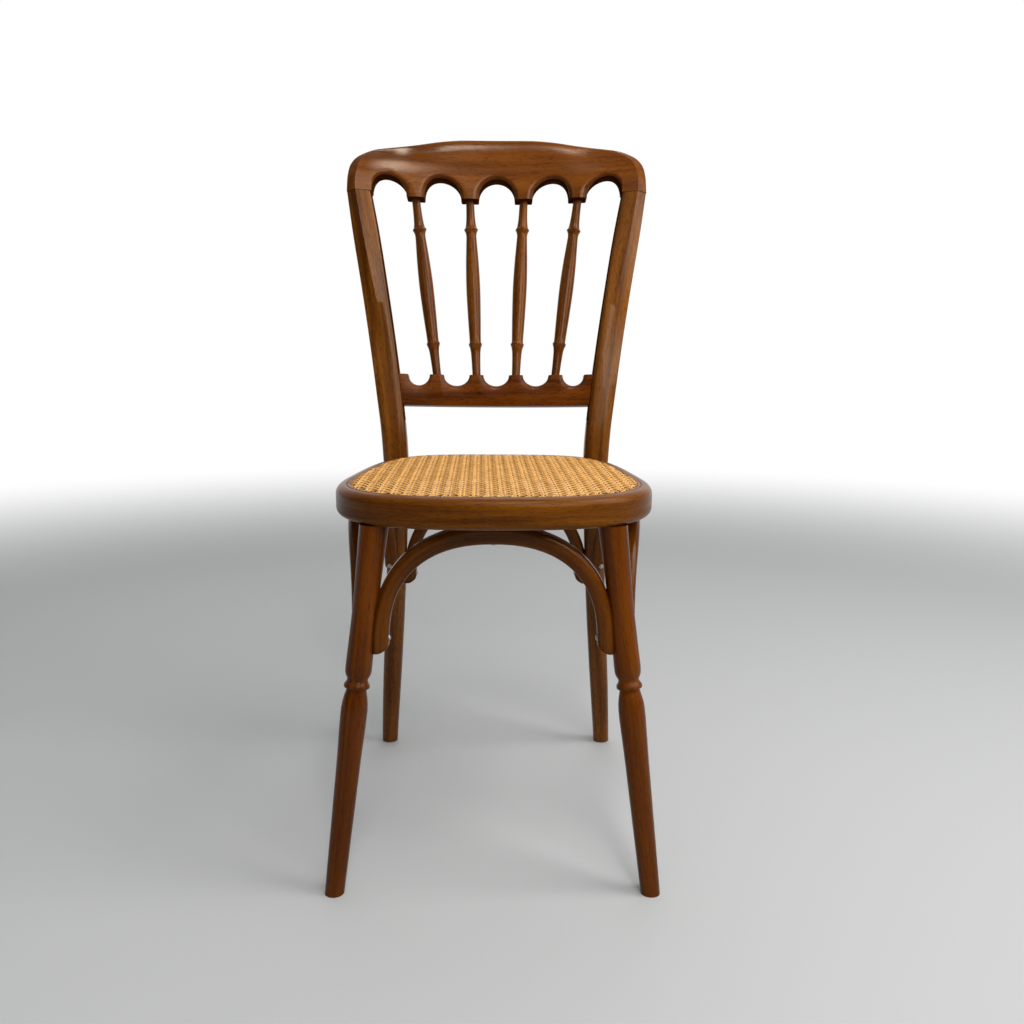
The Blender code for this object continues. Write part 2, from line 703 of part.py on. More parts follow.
def leg_shape(side, grow, sides):
    """Turned front leg, long enough to be cut level at the floor and at the ring."""
    foot = leg_place(side, 0.0)
    top = leg_place(side, RING_UNDERSIDE)
    length = (top - foot).length
    spare = LEG_DIAMETER
    profile = [(0.0, length + spare), (LEG_DIAMETER / 2 + grow, length + spare)]
    profile += [(LEG_DIAMETER * width / 2 + grow, length * height) for height, width in LEG_SHARES]
    profile += [(LEG_DIAMETER * LEG_SHARES[-1][1] / 2 + grow, -spare), (0.0, -spare)]
    shape = turned(profile, sides)
    bmesh.ops.transform(shape, matrix=aim(foot, top - foot), verts=shape.verts[:])
    return shape


def make_front_leg(name, side):
    """Front leg with a level foot and a round tenon for the ring."""
    shape = leg_shape(side, 0.0, 16)
    slice_off(shape, (0, 0, 0), (0, 0, -1))
    shoulder = slice_off(shape, (0, 0, RING_UNDERSIDE - FIT_GAP), (0, 0, 1))
    bmesh.ops.inset_individual(shape, faces=shoulder, thickness=(LEG_DIAMETER - TENON_DIAMETER) / 2)
    raised = bmesh.ops.extrude_discrete_faces(shape, faces=shoulder)["faces"]
    axis = (leg_place(side, RING_UNDERSIDE) - leg_place(side, 0.0)).normalized()
    verts = list({vert for face in raised for vert in face.verts})
    bmesh.ops.translate(shape, verts=verts, vec=axis * TENON_LENGTH)
    return add_part(name, mesh_from(shape, name), STAINED_BEECH)


def slanted_peg(name, place, direction, radius, length):
    """Cutter with level ends whose sides follow a slanted direction."""
    shape = bmesh.new()
    bmesh.ops.create_circle(shape, cap_ends=True, radius=radius, segments=16, matrix=Matrix.Translation(place))
    bmesh.ops.translate(shape, verts=shape.verts[:], vec=-direction * length * 0.25)
    raised = bmesh.ops.extrude_face_region(shape, geom=shape.faces[:])["geom"]
    verts = [item for item in raised if isinstance(item, bmesh.types.BMVert)]
    bmesh.ops.translate(shape, verts=verts, vec=direction * length * 1.25)
    return add_cutter(name, mesh_from(shape, name))


def rod_mesh(name, place, direction, radius, length, sides=12):
    """Plain round rod from a place along a direction."""
    shape = turned([(0.0, length), (radius, length), (radius, 0.0), (0.0, 0.0)], sides)
    bmesh.ops.transform(shape, matrix=aim(place, direction), verts=shape.verts[:])
    return mesh_from(shape, name)


def spindle_ends(number):
    """Foot and head of a spindle where it leaves the rails; number runs from -1.5 to 1.5."""
    foot_x = number * SPINDLE_FOOT_PITCH
    head_x = number * SPINDLE_TOP_PITCH
    reach = post_station(RAIL_BOTTOM)[0].x
    foot = on_back(foot_x, RAIL_TOP, sag_at(foot_x, RAIL_SAG, reach))
    head = on_back(head_x, PENDANT_FOOT, sag_at(head_x, CREST_SAG, CREST_SAG_REACH))
    return foot, head


def make_spindle(name, number):
    """Turned spindle with two beads, its ends let into the rails."""
    foot, head = spindle_ends(number)
    length = (head - foot).length
    neck = SPINDLE_DIAMETER * SPINDLE_SHARES[-1][1] / 2
    base = SPINDLE_DIAMETER * SPINDLE_SHARES[0][1] / 2
    profile = [(0.0, length + SPINDLE_PIN), (neck, length + SPINDLE_PIN)]
    profile += [(SPINDLE_DIAMETER * width / 2, length * height) for height, width in reversed(SPINDLE_SHARES)]
    profile += [(base, -SPINDLE_PIN), (0.0, -SPINDLE_PIN)]
    shape = turned(profile, 12)
    bmesh.ops.transform(shape, matrix=aim(foot, head - foot), verts=shape.verts[:])
    return add_part(name, mesh_from(shape, name), STAINED_BEECH)


# Bent arches

def arch_shares(power_across, power_up, steps):
    """Half of an arch from its crown to its end as (across, drop) shares."""
    shares = []
    for step in range(steps + 1):
        angle = math.pi / 2 * step / steps
        across = math.sin(angle) ** (2 / power_across)
        up = max(0.0, math.cos(angle)) ** (2 / power_up)
        shares.append((across, 1 - up))
    return shares


def rod_shape(name, places, swells, radius):
    """Round bent rod through places, thicker or thinner by its swells."""
    curve = poly_curve(name, [places], False, "3D")
    for point, swell in zip(curve.splines[0].points, swells):
        point.radius = swell
    curve.bevel_depth = radius
    curve.bevel_resolution = 2
    curve.use_fill_caps = True
    curve.twist_mode = "MINIMUM"
    return curve_mesh(curve, name)


def end_swells(places, middle_swell):
    """Swell at each place of an arch: its crown is fuller, and its ends are rounded off."""
    count = len(places)
    swells = []
    for index in range(count):
        share = abs(2 * index / (count - 1) - 1)
        swell = 1 + (middle_swell - 1) * (1 - smooth_step(share, 0.0, 0.75))
        from_end = min(index, count - 1 - index)
        swells.append(swell * (0.62, 0.90, 1.0)[min(from_end, 2)])
    return swells


def level_top(shape):
    """Plane the crown of an arch flat where it lies against the ring."""
    slice_off(shape, (0, 0, RING_UNDERSIDE - FIT_GAP), (0, 0, 1))


def two_sided_path(half_path):
    """Join a half arch, listed from its crown, to its mirror image."""
    left = [Vector((-place.x, place.y, place.z)) for place in reversed(half_path[1:])]
    return left + half_path


def make_front_arch():
    """Arch between the front legs, in the plane of their slant."""
    radius = ARCH_DIAMETER / 2
    crown = RING_UNDERSIDE - radius * ARCH_CROWN_SWELL + FIT_GAP
    end_z = crown - ARCH_DROP
    end_x = leg_place(1, end_z).x - leg_radius(end_z) - radius + ARCH_OVERLAP
    half = []
    for across, drop in arch_shares(FRONT_ARCH_POWER_ACROSS, ARCH_POWER_UP, PATH_STEPS // 2):
        z = crown - ARCH_DROP * drop
        half.append(Vector((end_x * across, leg_place(1, z).y, z)))
    half.append(half[-1] + (half[-1] - half[-2]).normalized() * radius * 0.7)
    path = two_sided_path(half)
    shape = rod_shape("front_arch", path, end_swells(path, ARCH_CROWN_SWELL), radius)
    level_top(shape)
    return add_part("front_arch", mesh_from(shape, "front_arch"), STAINED_BEECH)


def leg_radius(z):
    """Radius of a front leg at a height."""
    share = z / RING_UNDERSIDE
    rows = tuple(reversed(LEG_SHARES))
    return LEG_DIAMETER / 2 * table_value(rows, share, 1)


def make_back_arch():
    """Arch between the rear legs."""
    radius = BACK_ARCH_DIAMETER / 2
    crown = RING_UNDERSIDE - radius + FIT_GAP
    end_z = crown - BACK_ARCH_DROP
    share = end_z / POST_TOP_Z
    post_half = table_value(POST_TABLE_SHARES, share, 1) * POST_WIDTH / 2
    end_x = post_centre(end_z).x - post_half - radius + ARCH_OVERLAP
    half = []
    for across, drop in arch_shares(ARCH_POWER_ACROSS, ARCH_POWER_UP * 0.9, PATH_STEPS // 2):
        z = crown - BACK_ARCH_DROP * drop
        half.append(Vector((end_x * across, post_centre(z).y, z)))
    half.append(half[-1] + (half[-1] - half[-2]).normalized() * radius * 0.7)
    path = two_sided_path(half)
    shape = rod_shape("back_arch", path, end_swells(path, 1.0), radius)
    level_top(shape)
    return add_part("back_arch", mesh_from(shape, "back_arch"), STAINED_BEECH)


def side_arch_ends(end_z):
    """Ends of the right side arch: behind the front leg and in front of the rear leg."""
    radius = SIDE_ARCH_DIAMETER / 2
    front = leg_place(1, end_z)
    reach = leg_radius(end_z) + radius - ARCH_OVERLAP
    front += Vector((SIDE_ARCH_OUT, math.sqrt(reach ** 2 - SIDE_ARCH_OUT ** 2), 0))
    rear = post_centre(end_z)
    post_half = table_value(POST_TABLE_SHARES, end_z / POST_TOP_Z, 2) * POST_DEPTH / 2
    reach = post_half + radius - ARCH_OVERLAP
    rear += Vector((SIDE_ARCH_OUT, -math.sqrt(reach ** 2 - SIDE_ARCH_OUT ** 2), 0))
    return front, rear


def side_arch_path():
    """Centre line of the right side arch: it rises to the ring and bows out under the rim."""
    radius = SIDE_ARCH_DIAMETER / 2
    crown = RING_UNDERSIDE - radius + FIT_GAP
    end_z = crown - SIDE_ARCH_DROP
    front, rear = side_arch_ends(end_z)
    middle = (front + rear) / 2
    bow = SIDE_ARCH_BOW_SHARE * RING_HALF_WIDTH
    places = []
    shares = arch_shares(ARCH_POWER_ACROSS, ARCH_POWER_UP, PATH_STEPS // 2)
    signed = [(-across, drop) for across, drop in reversed(shares[1:])] + shares
    for along, drop in signed:
        z = crown - SIDE_ARCH_DROP * drop
        place = middle + (rear - front) / 2 * along
        lean = leg_place(1, z).y - leg_place(1, end_z).y if along < 0 else post_centre(z).y - post_centre(end_z).y
        out = bow * (1 - abs(along) ** SIDE_ARCH_POWER)
        places.append(Vector((place.x + out, place.y + lean * abs(along) ** 4, z)))
    ends = []
    for near, far in ((places[0], places[1]), (places[-1], places[-2])):
        ends.append(near + (near - far).normalized() * radius * 0.7)
    return [ends[0]] + places + [ends[1]]


def make_side_arch(name, side):
    """Side arch between a front leg and a rear leg."""
    path = [Vector((side * place.x, place.y, place.z)) for place in side_arch_path()]
    shape = rod_shape(name, path, end_swells(path, 1.0), SIDE_ARCH_DIAMETER / 2)
    level_top(shape)
    return add_part(name, mesh_from(shape, name), STAINED_BEECH)


# Fasteners

def make_fastener(name, seat, direction, head, height, shaft, length, hosts, look=ZINC_STEEL):
    """Dome headed screw whose head rests at a place, and the hole with a flat seat that takes it."""
    profile = [(0.0, height), (head * 0.30, height * 0.94), (head * 0.46, height * 0.45), (head / 2, 0.0)]
    profile += [(shaft / 2, 0.0), (shaft / 2, -length), (0.0, -length)]
    shape = turned(profile, 8)
    matrix = aim(seat, -Vector(direction))
    bmesh.ops.transform(shape, matrix=matrix, verts=shape.verts[:])
    add_part(name, mesh_from(shape, name), look)
    bore = shaft / 2 + FIT_GAP
    sink = head / 2 + FIT_GAP
    hole = turned([
        (0.0, head), (sink, head), (sink, -FIT_GAP), (bore, -FIT_GAP), (bore, -length - FIT_GAP),
        (0.0, -length - FIT_GAP),
    ], 8)
    bmesh.ops.transform(hole, matrix=matrix, verts=hole.verts[:])
    cutter = add_cutter(name + "_hole", mesh_from(hole, name + "_hole"))
    for host in hosts:
        cut(host, cutter)


def add_screw(name, seat, direction, length, hosts):
    """Wood screw of the arches."""
    make_fastener(
        name, seat, direction, SCREW_HEAD_DIAMETER, SCREW_HEAD_HEIGHT, SCREW_SHAFT_DIAMETER, length, hosts,
    )


# Assembly

seat_ring = make_seat_ring()
cane_binder = make_cane_binder()
cane_panel = make_cane_panel()
crest_rail = make_crest_rail()
lower_rail = make_lower_rail()

sides = (("left", -1), ("right", 1))
posts = {}
legs = {}
side_arches = {}
for word, side in sides:
    posts[side] = add_part("rear_post_" + word, post_mesh("rear_post_" + word, side, 0.0), STAINED_BEECH, 32.0)
    grown_post = add_cutter("post_room_" + word, post_mesh("post_room_" + word, side, FIT_GAP))
    legs[side] = make_front_leg("front_leg_" + word, side)
    grown_leg = add_cutter("leg_room_" + word, mesh_from(leg_shape(side, FIT_GAP, 16), "leg_room_" + word))
    cut(seat_ring, grown_post)
    cut(lower_rail, grown_post)
    top = leg_place(side, RING_UNDERSIDE)
    axis = (top - leg_place(side, 0.0)).normalized()
    socket = slanted_peg("leg_socket_" + word, top, axis, TENON_DIAMETER / 2 + 2 * FIT_GAP, TENON_LENGTH + FIT_GAP)
    cut(seat_ring, socket)
    side_arches[side] = make_side_arch("side_arch_" + word, side)
    cut(side_arches[side], grown_leg)
    cut(side_arches[side], grown_post)

front_arch = make_front_arch()
back_arch = make_back_arch()
for word, side in sides:
    cut(front_arch, bpy.data.objects["leg_room_" + word])
    cut(back_arch, bpy.data.objects["post_room_" + word])

# Spindles in their holes

for index, number in enumerate((-1.5, -0.5, 0.5, 1.5)):
    name = "spindle_%d" % (index + 1)
    make_spindle(name, number)
    foot, head = spindle_ends(number)
    up = (head - foot).normalized()
    neck = SPINDLE_DIAMETER * SPINDLE_SHARES[-1][1] / 2 + FIT_GAP
    base = SPINDLE_DIAMETER * SPINDLE_SHARES[0][1] / 2 + FIT_GAP
    depth = SPINDLE_PIN + FIT_GAP
    head_hole = rod_mesh(name + "_head_hole", head - up * depth, up, neck, depth * 2)
    foot_hole = rod_mesh(name + "_foot_hole", foot + up * depth, -up, base, depth * 2)
    cut(crest_rail, add_cutter(name + "_head_hole", head_hole))
    cut(lower_rail, add_cutter(name + "_foot_hole", foot_hole))

# Dowels at the crest joints and at the lower rail's ends

for word, side in sides:
    rise = on_back(0, 1, 0) - on_back(0, 0, 0)
    for label, offset in (("inner", -DOWEL_SPREAD_SHARE), ("outer", DOWEL_SPREAD_SHARE)):
        name = "crest_dowel_%s_%s" % (word, label)
        x = POST_TOP_X + offset * POST_WIDTH
        middle = on_back(side * x, BACK_JOINT, sag_at(x, CREST_SAG, CREST_SAG_REACH))
        start = middle - rise * DOWEL_LENGTH / 2
        add_part(name, rod_mesh(name, start, rise, DOWEL_DIAMETER / 2, DOWEL_LENGTH), BARE_BEECH)
        hole = rod_mesh(
            name + "_hole", start - rise * FIT_GAP, rise, DOWEL_DIAMETER / 2 + FIT_GAP, DOWEL_LENGTH + 2 * FIT_GAP,
        )
        cutter = add_cutter(name + "_hole", hole)
        cut(crest_rail, cutter)
        cut(posts[side], cutter)
    name = "rail_dowel_" + word
    height = RAIL_BOTTOM + RAIL_HEIGHT * 0.42
    inner = post_station(height)[0].x - POST_WIDTH / 2
    start = on_back(side * (inner - DOWEL_LENGTH / 2), height, 0.0)
    out = Vector((side, 0, 0))
    add_part(name, rod_mesh(name, start, out, DOWEL_DIAMETER / 2, DOWEL_LENGTH), BARE_BEECH)
    hole = rod_mesh(
        name + "_hole", start - out * FIT_GAP, out, DOWEL_DIAMETER / 2 + FIT_GAP, DOWEL_LENGTH + 2 * FIT_GAP,
    )
    cutter = add_cutter(name + "_hole", hole)
    cut(lower_rail, cutter)
    cut(posts[side], cutter)

# Bolts through the rear posts into the ring

for word, side in sides:
    height = SEAT_HEIGHT - RING_THICKNESS * 0.55
    centre = post_centre(height)
    half_depth = table_value(POST_TABLE_SHARES, height / POST_TOP_Z, 2) * POST_DEPTH / 2
    seat = Vector((side * centre.x, centre.y + half_depth - BOLT_HEAD_HEIGHT / 2, height))
    make_fastener(
        "post_bolt_" + word, seat, (0, -1, 0), BOLT_HEAD_DIAMETER, BOLT_HEAD_HEIGHT, BOLT_SHAFT_DIAMETER,
        BOLT_LENGTH, (posts[side], seat_ring),
    )

# Screws of the arches: two at each arch's ends and one up into the ring at its crown

sink = SCREW_HEAD_HEIGHT * 0.6
front_screw_z = RING_UNDERSIDE - ARCH_DROP
back_screw_z = RING_UNDERSIDE - BACK_ARCH_DROP
for word, side in sides:
    across = Vector((side, 0, 0))
    reach = leg_place(1, front_screw_z).x - leg_radius(front_screw_z) - ARCH_DIAMETER + ARCH_OVERLAP
    seat = Vector((side * (reach + sink), leg_place(1, front_screw_z).y, front_screw_z))
    add_screw(
        "front_arch_screw_" + word, seat, across, ARCH_DIAMETER + SCREW_REACH, (front_arch, legs[side]),
    )
    post = post_centre(back_screw_z)
    post_half = table_value(POST_TABLE_SHARES, back_screw_z / POST_TOP_Z, 1) * POST_WIDTH / 2
    reach = post.x - post_half - BACK_ARCH_DIAMETER + ARCH_OVERLAP
    seat = Vector((side * (reach + sink), post.y, back_screw_z))
    add_screw(
        "back_arch_screw_" + word, seat, across, BACK_ARCH_DIAMETER + SCREW_REACH, (back_arch, posts[side]),
    )
    path = side_arch_path()
    for label, place, host, way in (
        ("front", path[1], legs[side], leg_place(1, path[1].z) - path[1]),
        ("rear", path[-2], posts[side], post_centre(path[-2].z) - path[-2]),
    ):
        way = way.normalized()
        seat = place - way * (SIDE_ARCH_DIAMETER / 2 - sink)
        add_screw(
            "side_arch_screw_%s_%s" % (word, label), Vector((side * seat.x, seat.y, seat.z)),
            (side * way.x, way.y, way.z), SIDE_ARCH_DIAMETER + SCREW_REACH, (side_arches[side], host),
        )

crowns = [
    ("front_arch", front_arch, leg_place(1, RING_UNDERSIDE - ARCH_DIAMETER / 2), ARCH_DIAMETER * ARCH_CROWN_SWELL),
    ("back_arch", back_arch, post_centre(RING_UNDERSIDE - BACK_ARCH_DIAMETER / 2), BACK_ARCH_DIAMETER),
]
middle = side_arch_path()[len(side_arch_path()) // 2]
for word, side in sides:
    crowns.append(("side_arch_" + word, side_arches[side], Vector((side * middle.x, middle.y, 0)), SIDE_ARCH_DIAMETER))
for name, arch, place, depth in crowns:
    x = 0.0 if name in ("front_arch", "back_arch") else place.x
    seat = Vector((x, place.y, RING_UNDERSIDE - depth + sink))
    add_screw(name + "_top_screw", seat, (0, 0, 1), depth + SCREW_RISE, (arch, seat_ring))

# Centre the chair's plan box on the origin

bpy.context.view_layer.update()
depsgraph = bpy.context.evaluated_depsgraph_get()
extent = []
for piece in chair.objects:
    if piece.type == "MESH":
        evaluated = piece.evaluated_get(depsgraph)
        extent.extend(evaluated.matrix_world @ vert.co for vert in evaluated.data.vertices)
middle_x = (min(place.x for place in extent) + max(place.x for place in extent)) / 2
middle_y = (min(place.y for place in extent) + max(place.y for place in extent)) / 2
origin.location = (-middle_x, -middle_y, 0.0)
bpy.context.view_layer.update()
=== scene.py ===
"""Looks of the spindle back chair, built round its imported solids.

Metres, +Z up. The chair faces -Y, and left and right are those of a viewer who stands in front of it.
"""

import bisect
import math

import bmesh
import bpy
from mathutils import Matrix, Vector


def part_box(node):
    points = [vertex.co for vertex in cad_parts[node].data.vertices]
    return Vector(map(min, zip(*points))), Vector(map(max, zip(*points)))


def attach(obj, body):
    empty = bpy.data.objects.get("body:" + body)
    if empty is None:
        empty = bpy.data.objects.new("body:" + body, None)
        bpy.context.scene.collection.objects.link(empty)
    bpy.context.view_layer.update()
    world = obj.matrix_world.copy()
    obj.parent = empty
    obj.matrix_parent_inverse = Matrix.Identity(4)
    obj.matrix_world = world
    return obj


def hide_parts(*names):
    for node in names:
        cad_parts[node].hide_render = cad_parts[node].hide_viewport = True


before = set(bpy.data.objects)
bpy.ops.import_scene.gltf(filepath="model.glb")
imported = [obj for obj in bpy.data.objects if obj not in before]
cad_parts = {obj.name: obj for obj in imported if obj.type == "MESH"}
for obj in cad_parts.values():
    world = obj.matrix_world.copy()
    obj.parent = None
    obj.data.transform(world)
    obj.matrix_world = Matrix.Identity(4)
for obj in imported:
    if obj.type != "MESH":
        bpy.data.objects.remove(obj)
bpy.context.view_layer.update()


# Stage: a pale floor that fades to white, soft studio lamps and the camera of the photograph.
# The floor and the lamps are not part of the chair.

FLOOR_REACH = 14.0
FLOOR_SIDES = 96
FLOOR_COLOUR = (0.44, 0.44, 0.435, 1.0)
FADE_START = 1.5
FADE_END = 3.6
WHITE = (1, 1, 1, 1)
SKY_TINT = (0.95, 0.975, 1.0, 1.0)
CHAIR_MIDDLE = Vector((0.0, 0.0, 0.55))
LENS = 33.79
SENSOR = 36.0
CAMERA_PLACE = Vector((0.0103, -1.2556, 0.6255))
CAMERA_PITCH = 0.1794
CAMERA_YAW = 0.0097
CAMERA_ROLL = 0.0048
CAMERA_REACH = 60.0


def new_material(name):
    """Start a node material, and return it with its tree and its shader."""
    material = bpy.data.materials.new(name)
    material.use_nodes = True
    return material, material.node_tree, material.node_tree.nodes["Principled BSDF"]


def feed(tree, node, sockets):
    """Fill a node's sockets; a value that is itself a socket is linked."""
    for key, value in sockets.items():
        if isinstance(value, bpy.types.NodeSocket):
            tree.links.new(value, node.inputs[key])
        else:
            node.inputs[key].default_value = value


def put(tree, kind, sockets=None, **settings):
    """Add a node of a kind, set its properties and fill its sockets."""
    node = tree.nodes.new("ShaderNode" + kind)
    for key, value in settings.items():
        setattr(node, key, value)
    feed(tree, node, sockets or {})
    return node


def maths(tree, operation, *values):
    """Work out a value from sockets and numbers."""
    return put(tree, "Math", dict(enumerate(values)), operation=operation).outputs["Value"]


def remap(tree, value, low, high, to_low, to_high, kind="LINEAR"):
    """Carry a range of values to another range."""
    sockets = {"Value": value, "From Min": low, "From Max": high, "To Min": to_low, "To Max": to_high}
    return put(tree, "MapRange", sockets, interpolation_type=kind).outputs["Result"]


def make_object(name, shape):
    """Turn a shape into an object of the scene."""
    mesh = bpy.data.meshes.new(name)
    shape.to_mesh(mesh)
    shape.free()
    made = bpy.data.objects.new(name, mesh)
    bpy.context.scene.collection.objects.link(made)
    return made


floor_shape = bmesh.new()
bmesh.ops.create_circle(floor_shape, cap_ends=True, radius=FLOOR_REACH, segments=FLOOR_SIDES)
floor = make_object("floor", floor_shape)

# The floor is lit, and turns to plain white away from the chair for rays that look at it.
floor_paint, tree, shader = new_material("pale_floor")
feed(tree, shader, {"Base Color": FLOOR_COLOUR, "Roughness": 0.75})
places = put(tree, "TexCoord")
distance = put(tree, "VectorMath", {0: places.outputs["Object"]}, operation="LENGTH")
fade = remap(tree, distance.outputs["Value"], FADE_START, FADE_END, 0.0, 1.0, "SMOOTHSTEP")
white = put(tree, "Emission", {"Color": WHITE, "Strength": 1.0})
rays = put(tree, "LightPath").outputs
seen = maths(tree, "MAXIMUM", rays["Is Camera Ray"], rays["Is Glossy Ray"])
seen_through = maths(tree, "MAXIMUM", seen, rays["Is Transmission Ray"])
share = maths(tree, "MULTIPLY", fade, seen_through)
mix = put(tree, "MixShader", {0: share, 1: shader.outputs["BSDF"], 2: white.outputs["Emission"]})
feed(tree, tree.nodes["Material Output"], {"Surface": mix.outputs["Shader"]})
floor.data.materials.append(floor_paint)

# The sky lights the chair softly from the ceiling and the far wall, and is white where it is looked at.
sky = bpy.data.worlds.new("studio")
bpy.context.scene.world = sky
sky.use_nodes = True
tree = sky.node_tree
looking = put(tree, "TexCoord")
parts = put(tree, "SeparateXYZ", {"Vector": looking.outputs["Generated"]}).outputs
ceiling = remap(tree, parts["Z"], 0.25, 0.95, 0.0, 0.34, "SMOOTHSTEP")
wall = remap(tree, parts["Y"], 0.0, 0.75, 0.10, 0.60, "SMOOTHSTEP")
soft_sky = tree.nodes["Background"]
feed(tree, soft_sky, {"Color": SKY_TINT, "Strength": maths(tree, "ADD", ceiling, wall)})
white_sky = put(tree, "Background", {"Color": WHITE, "Strength": 1.0})
rays = put(tree, "LightPath").outputs
backdrop = remap(tree, parts["Y"], 0.70, 0.92, 0.0, 1.0, "SMOOTHSTEP")
mirrored = maths(tree, "MULTIPLY", rays["Is Glossy Ray"], backdrop)
seen = maths(tree, "MAXIMUM", rays["Is Camera Ray"], rays["Is Transmission Ray"])
share = maths(tree, "MAXIMUM", seen, mirrored)
soft, plain = soft_sky.outputs["Background"], white_sky.outputs["Background"]
mix = put(tree, "MixShader", {0: share, 1: soft, 2: plain})
feed(tree, tree.nodes["World Output"], {"Surface": mix.outputs["Shader"]})

# name, degrees to the right of straight ahead of the chair, degrees up, distance, width, height, brightness
for lamp_name, right, up, away, width, height, glow in (
    ("ceiling_lamp", 9.5, 61, 2.1, 0.20, 0.60, 30.0),
    ("high_window", 74, 50, 2.4, 1.1, 1.0, 7.0),
    ("right_window", 25, 30, 2.5, 1.4, 1.0, 6.2),
    ("side_window", 76, 26, 2.4, 1.2, 1.2, 4.4),
    ("left_window", -25, 31, 2.5, 0.6, 1.0, 0.9),
    ("rear_lamp", 172, 44, 2.6, 1.4, 1.0, 1.6),
):
    lamp_data = bpy.data.lights.new(lamp_name, "AREA")
    lamp_data.shape = "RECTANGLE"
    lamp_data.size = width
    lamp_data.size_y = height
    lamp_data.energy = glow * math.pi * width * height
    lamp = bpy.data.objects.new(lamp_name, lamp_data)
    right, up = math.radians(right), math.radians(up)
    toward = Vector((math.cos(up) * math.sin(right), -math.cos(up) * math.cos(right), math.sin(up)))
    lamp.location = CHAIR_MIDDLE + toward * away
    lamp.rotation_euler = toward.to_track_quat("Z", "Y").to_euler()
    lamp.visible_camera = False
    bpy.context.scene.collection.objects.link(lamp)

flat = math.cos(CAMERA_PITCH)
ahead = Vector((math.sin(CAMERA_YAW) * flat, math.cos(CAMERA_YAW) * flat, -math.sin(CAMERA_PITCH)))
level = Vector((math.cos(CAMERA_YAW), -math.sin(CAMERA_YAW), 0.0))
upright = level.cross(ahead)
rightwards = math.cos(CAMERA_ROLL) * level + math.sin(CAMERA_ROLL) * upright
upwards = -math.sin(CAMERA_ROLL) * level + math.cos(CAMERA_ROLL) * upright
camera_data = bpy.data.cameras.new("camera")
camera_data.sensor_width = SENSOR
camera_data.lens = LENS
camera_data.clip_end = CAMERA_REACH
camera = bpy.data.objects.new("camera", camera_data)
bpy.context.scene.collection.objects.link(camera)
turn = Matrix((rightwards, upwards, -ahead)).transposed().to_4x4()
camera.matrix_world = Matrix.Translation(CAMERA_PLACE) @ turn
bpy.context.scene.camera = camera
bpy.context.scene.view_settings.view_transform = "Standard"


# Seat ring: one strip of beech, steam bent round the cane's outline and scarfed to itself, with a rounded
# rim and a ledge and a groove for the cane. It is stained brown and has a satin lacquer.

FIT_GAP = 0.0003
SEAT_HEIGHT = 0.455
RING_THICKNESS = 0.0355
RIM_WIDTH = 0.0130
LEDGE_WIDTH = 0.0215
RIM_TOP_ROUND = 0.0105
RIM_BOTTOM_ROUND = 0.0100
LEDGE_ROUND = 0.003
CANE_HALF_WIDTH = 0.1728
CANE_FRONT_REACH = 0.1675
CANE_BACK_REACH = 0.2212
CANE_TAPER = 0.143
CANE_FRONT_POWER = 2.70
CANE_BACK_POWER = 4.05
GROOVE_WIDTH = 0.005
GROOVE_DEPTH = 0.007
RING_STEPS = 288
RING_FRONT_REACH = CANE_FRONT_REACH + RIM_WIDTH
RING_BACK_REACH = CANE_BACK_REACH + RIM_WIDTH
RING_HALF_WIDTH = CANE_HALF_WIDTH + RIM_WIDTH
RING_UNDERSIDE = SEAT_HEIGHT - RING_THICKNESS
WIDEST_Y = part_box("seat_ring")[0].y + RING_FRONT_REACH
LEDGE_EDGE = 0.0012
RIM_EDGE = 0.0008
REBATE = 0.0030
EDGE_POINTS = 960


def cane_share(across, along):
    """How far out a place lies, as a share of the way from the cane's middle to its untapered edge."""
    reach = CANE_BACK_REACH if along > 0 else CANE_FRONT_REACH
    power = CANE_BACK_POWER if along > 0 else CANE_FRONT_POWER
    return ((abs(across) / CANE_HALF_WIDTH) ** power + (abs(along) / reach) ** power) ** (1 / power)


def cane_edge(offset, count):
    """Evenly spaced points of the cane's edge, moved outwards by an offset, with the outward directions."""
    dense = []
    for index in range(EDGE_POINTS):
        angle = math.tau * index / EDGE_POINTS
        across = math.cos(angle)
        along = math.sin(angle)
        radius = 1 / cane_share(across, along)
        y = radius * along
        dense.append(Vector((radius * across * (1 - CANE_TAPER * y / CANE_BACK_REACH), y + WIDEST_Y)))
    moved = []
    ways = []
    for index, point in enumerate(dense):
        step = dense[(index + 1) % EDGE_POINTS] - dense[index - 1]
        ways.append(Vector((step.y, -step.x)).normalized())
        moved.append(point + ways[-1] * offset)
    lengths = [0.0]
    for index in range(EDGE_POINTS):
        lengths.append(lengths[-1] + (moved[(index + 1) % EDGE_POINTS] - moved[index]).length)
    spaced = []
    index = 0
    for number in range(count):
        target = lengths[-1] * number / count
        while lengths[index + 1] < target:
            index += 1
        part = (target - lengths[index]) / (lengths[index + 1] - lengths[index])
        after = (index + 1) % EDGE_POINTS
        way = ways[index].lerp(ways[after], part).normalized()
        spaced.append((moved[index].lerp(moved[after], part), way))
    return spaced, lengths[-1]


def rounded(corners):
    """Points of an outline whose corners (x, y, radius, steps) are rounded."""
    points = []
    count = len(corners)
    for index, (x, y, radius, steps) in enumerate(corners):
        corner = Vector((x, y))
        if radius <= 0 or steps < 1:
            points.append(corner)
            continue
        before = (Vector(corners[index - 1][:2]) - corner).normalized()
        after = (Vector(corners[(index + 1) % count][:2]) - corner).normalized()
        half_turn = before.angle(after) / 2
        set_back = radius / math.tan(half_turn)
        centre = corner + (before + after).normalized() * radius / math.sin(half_turn)
        first = corner + before * set_back - centre
        last = corner + after * set_back - centre
        for step in range(steps + 1):
            points.append(centre + (first.lerp(last, step / steps)).normalized() * radius)
    return points


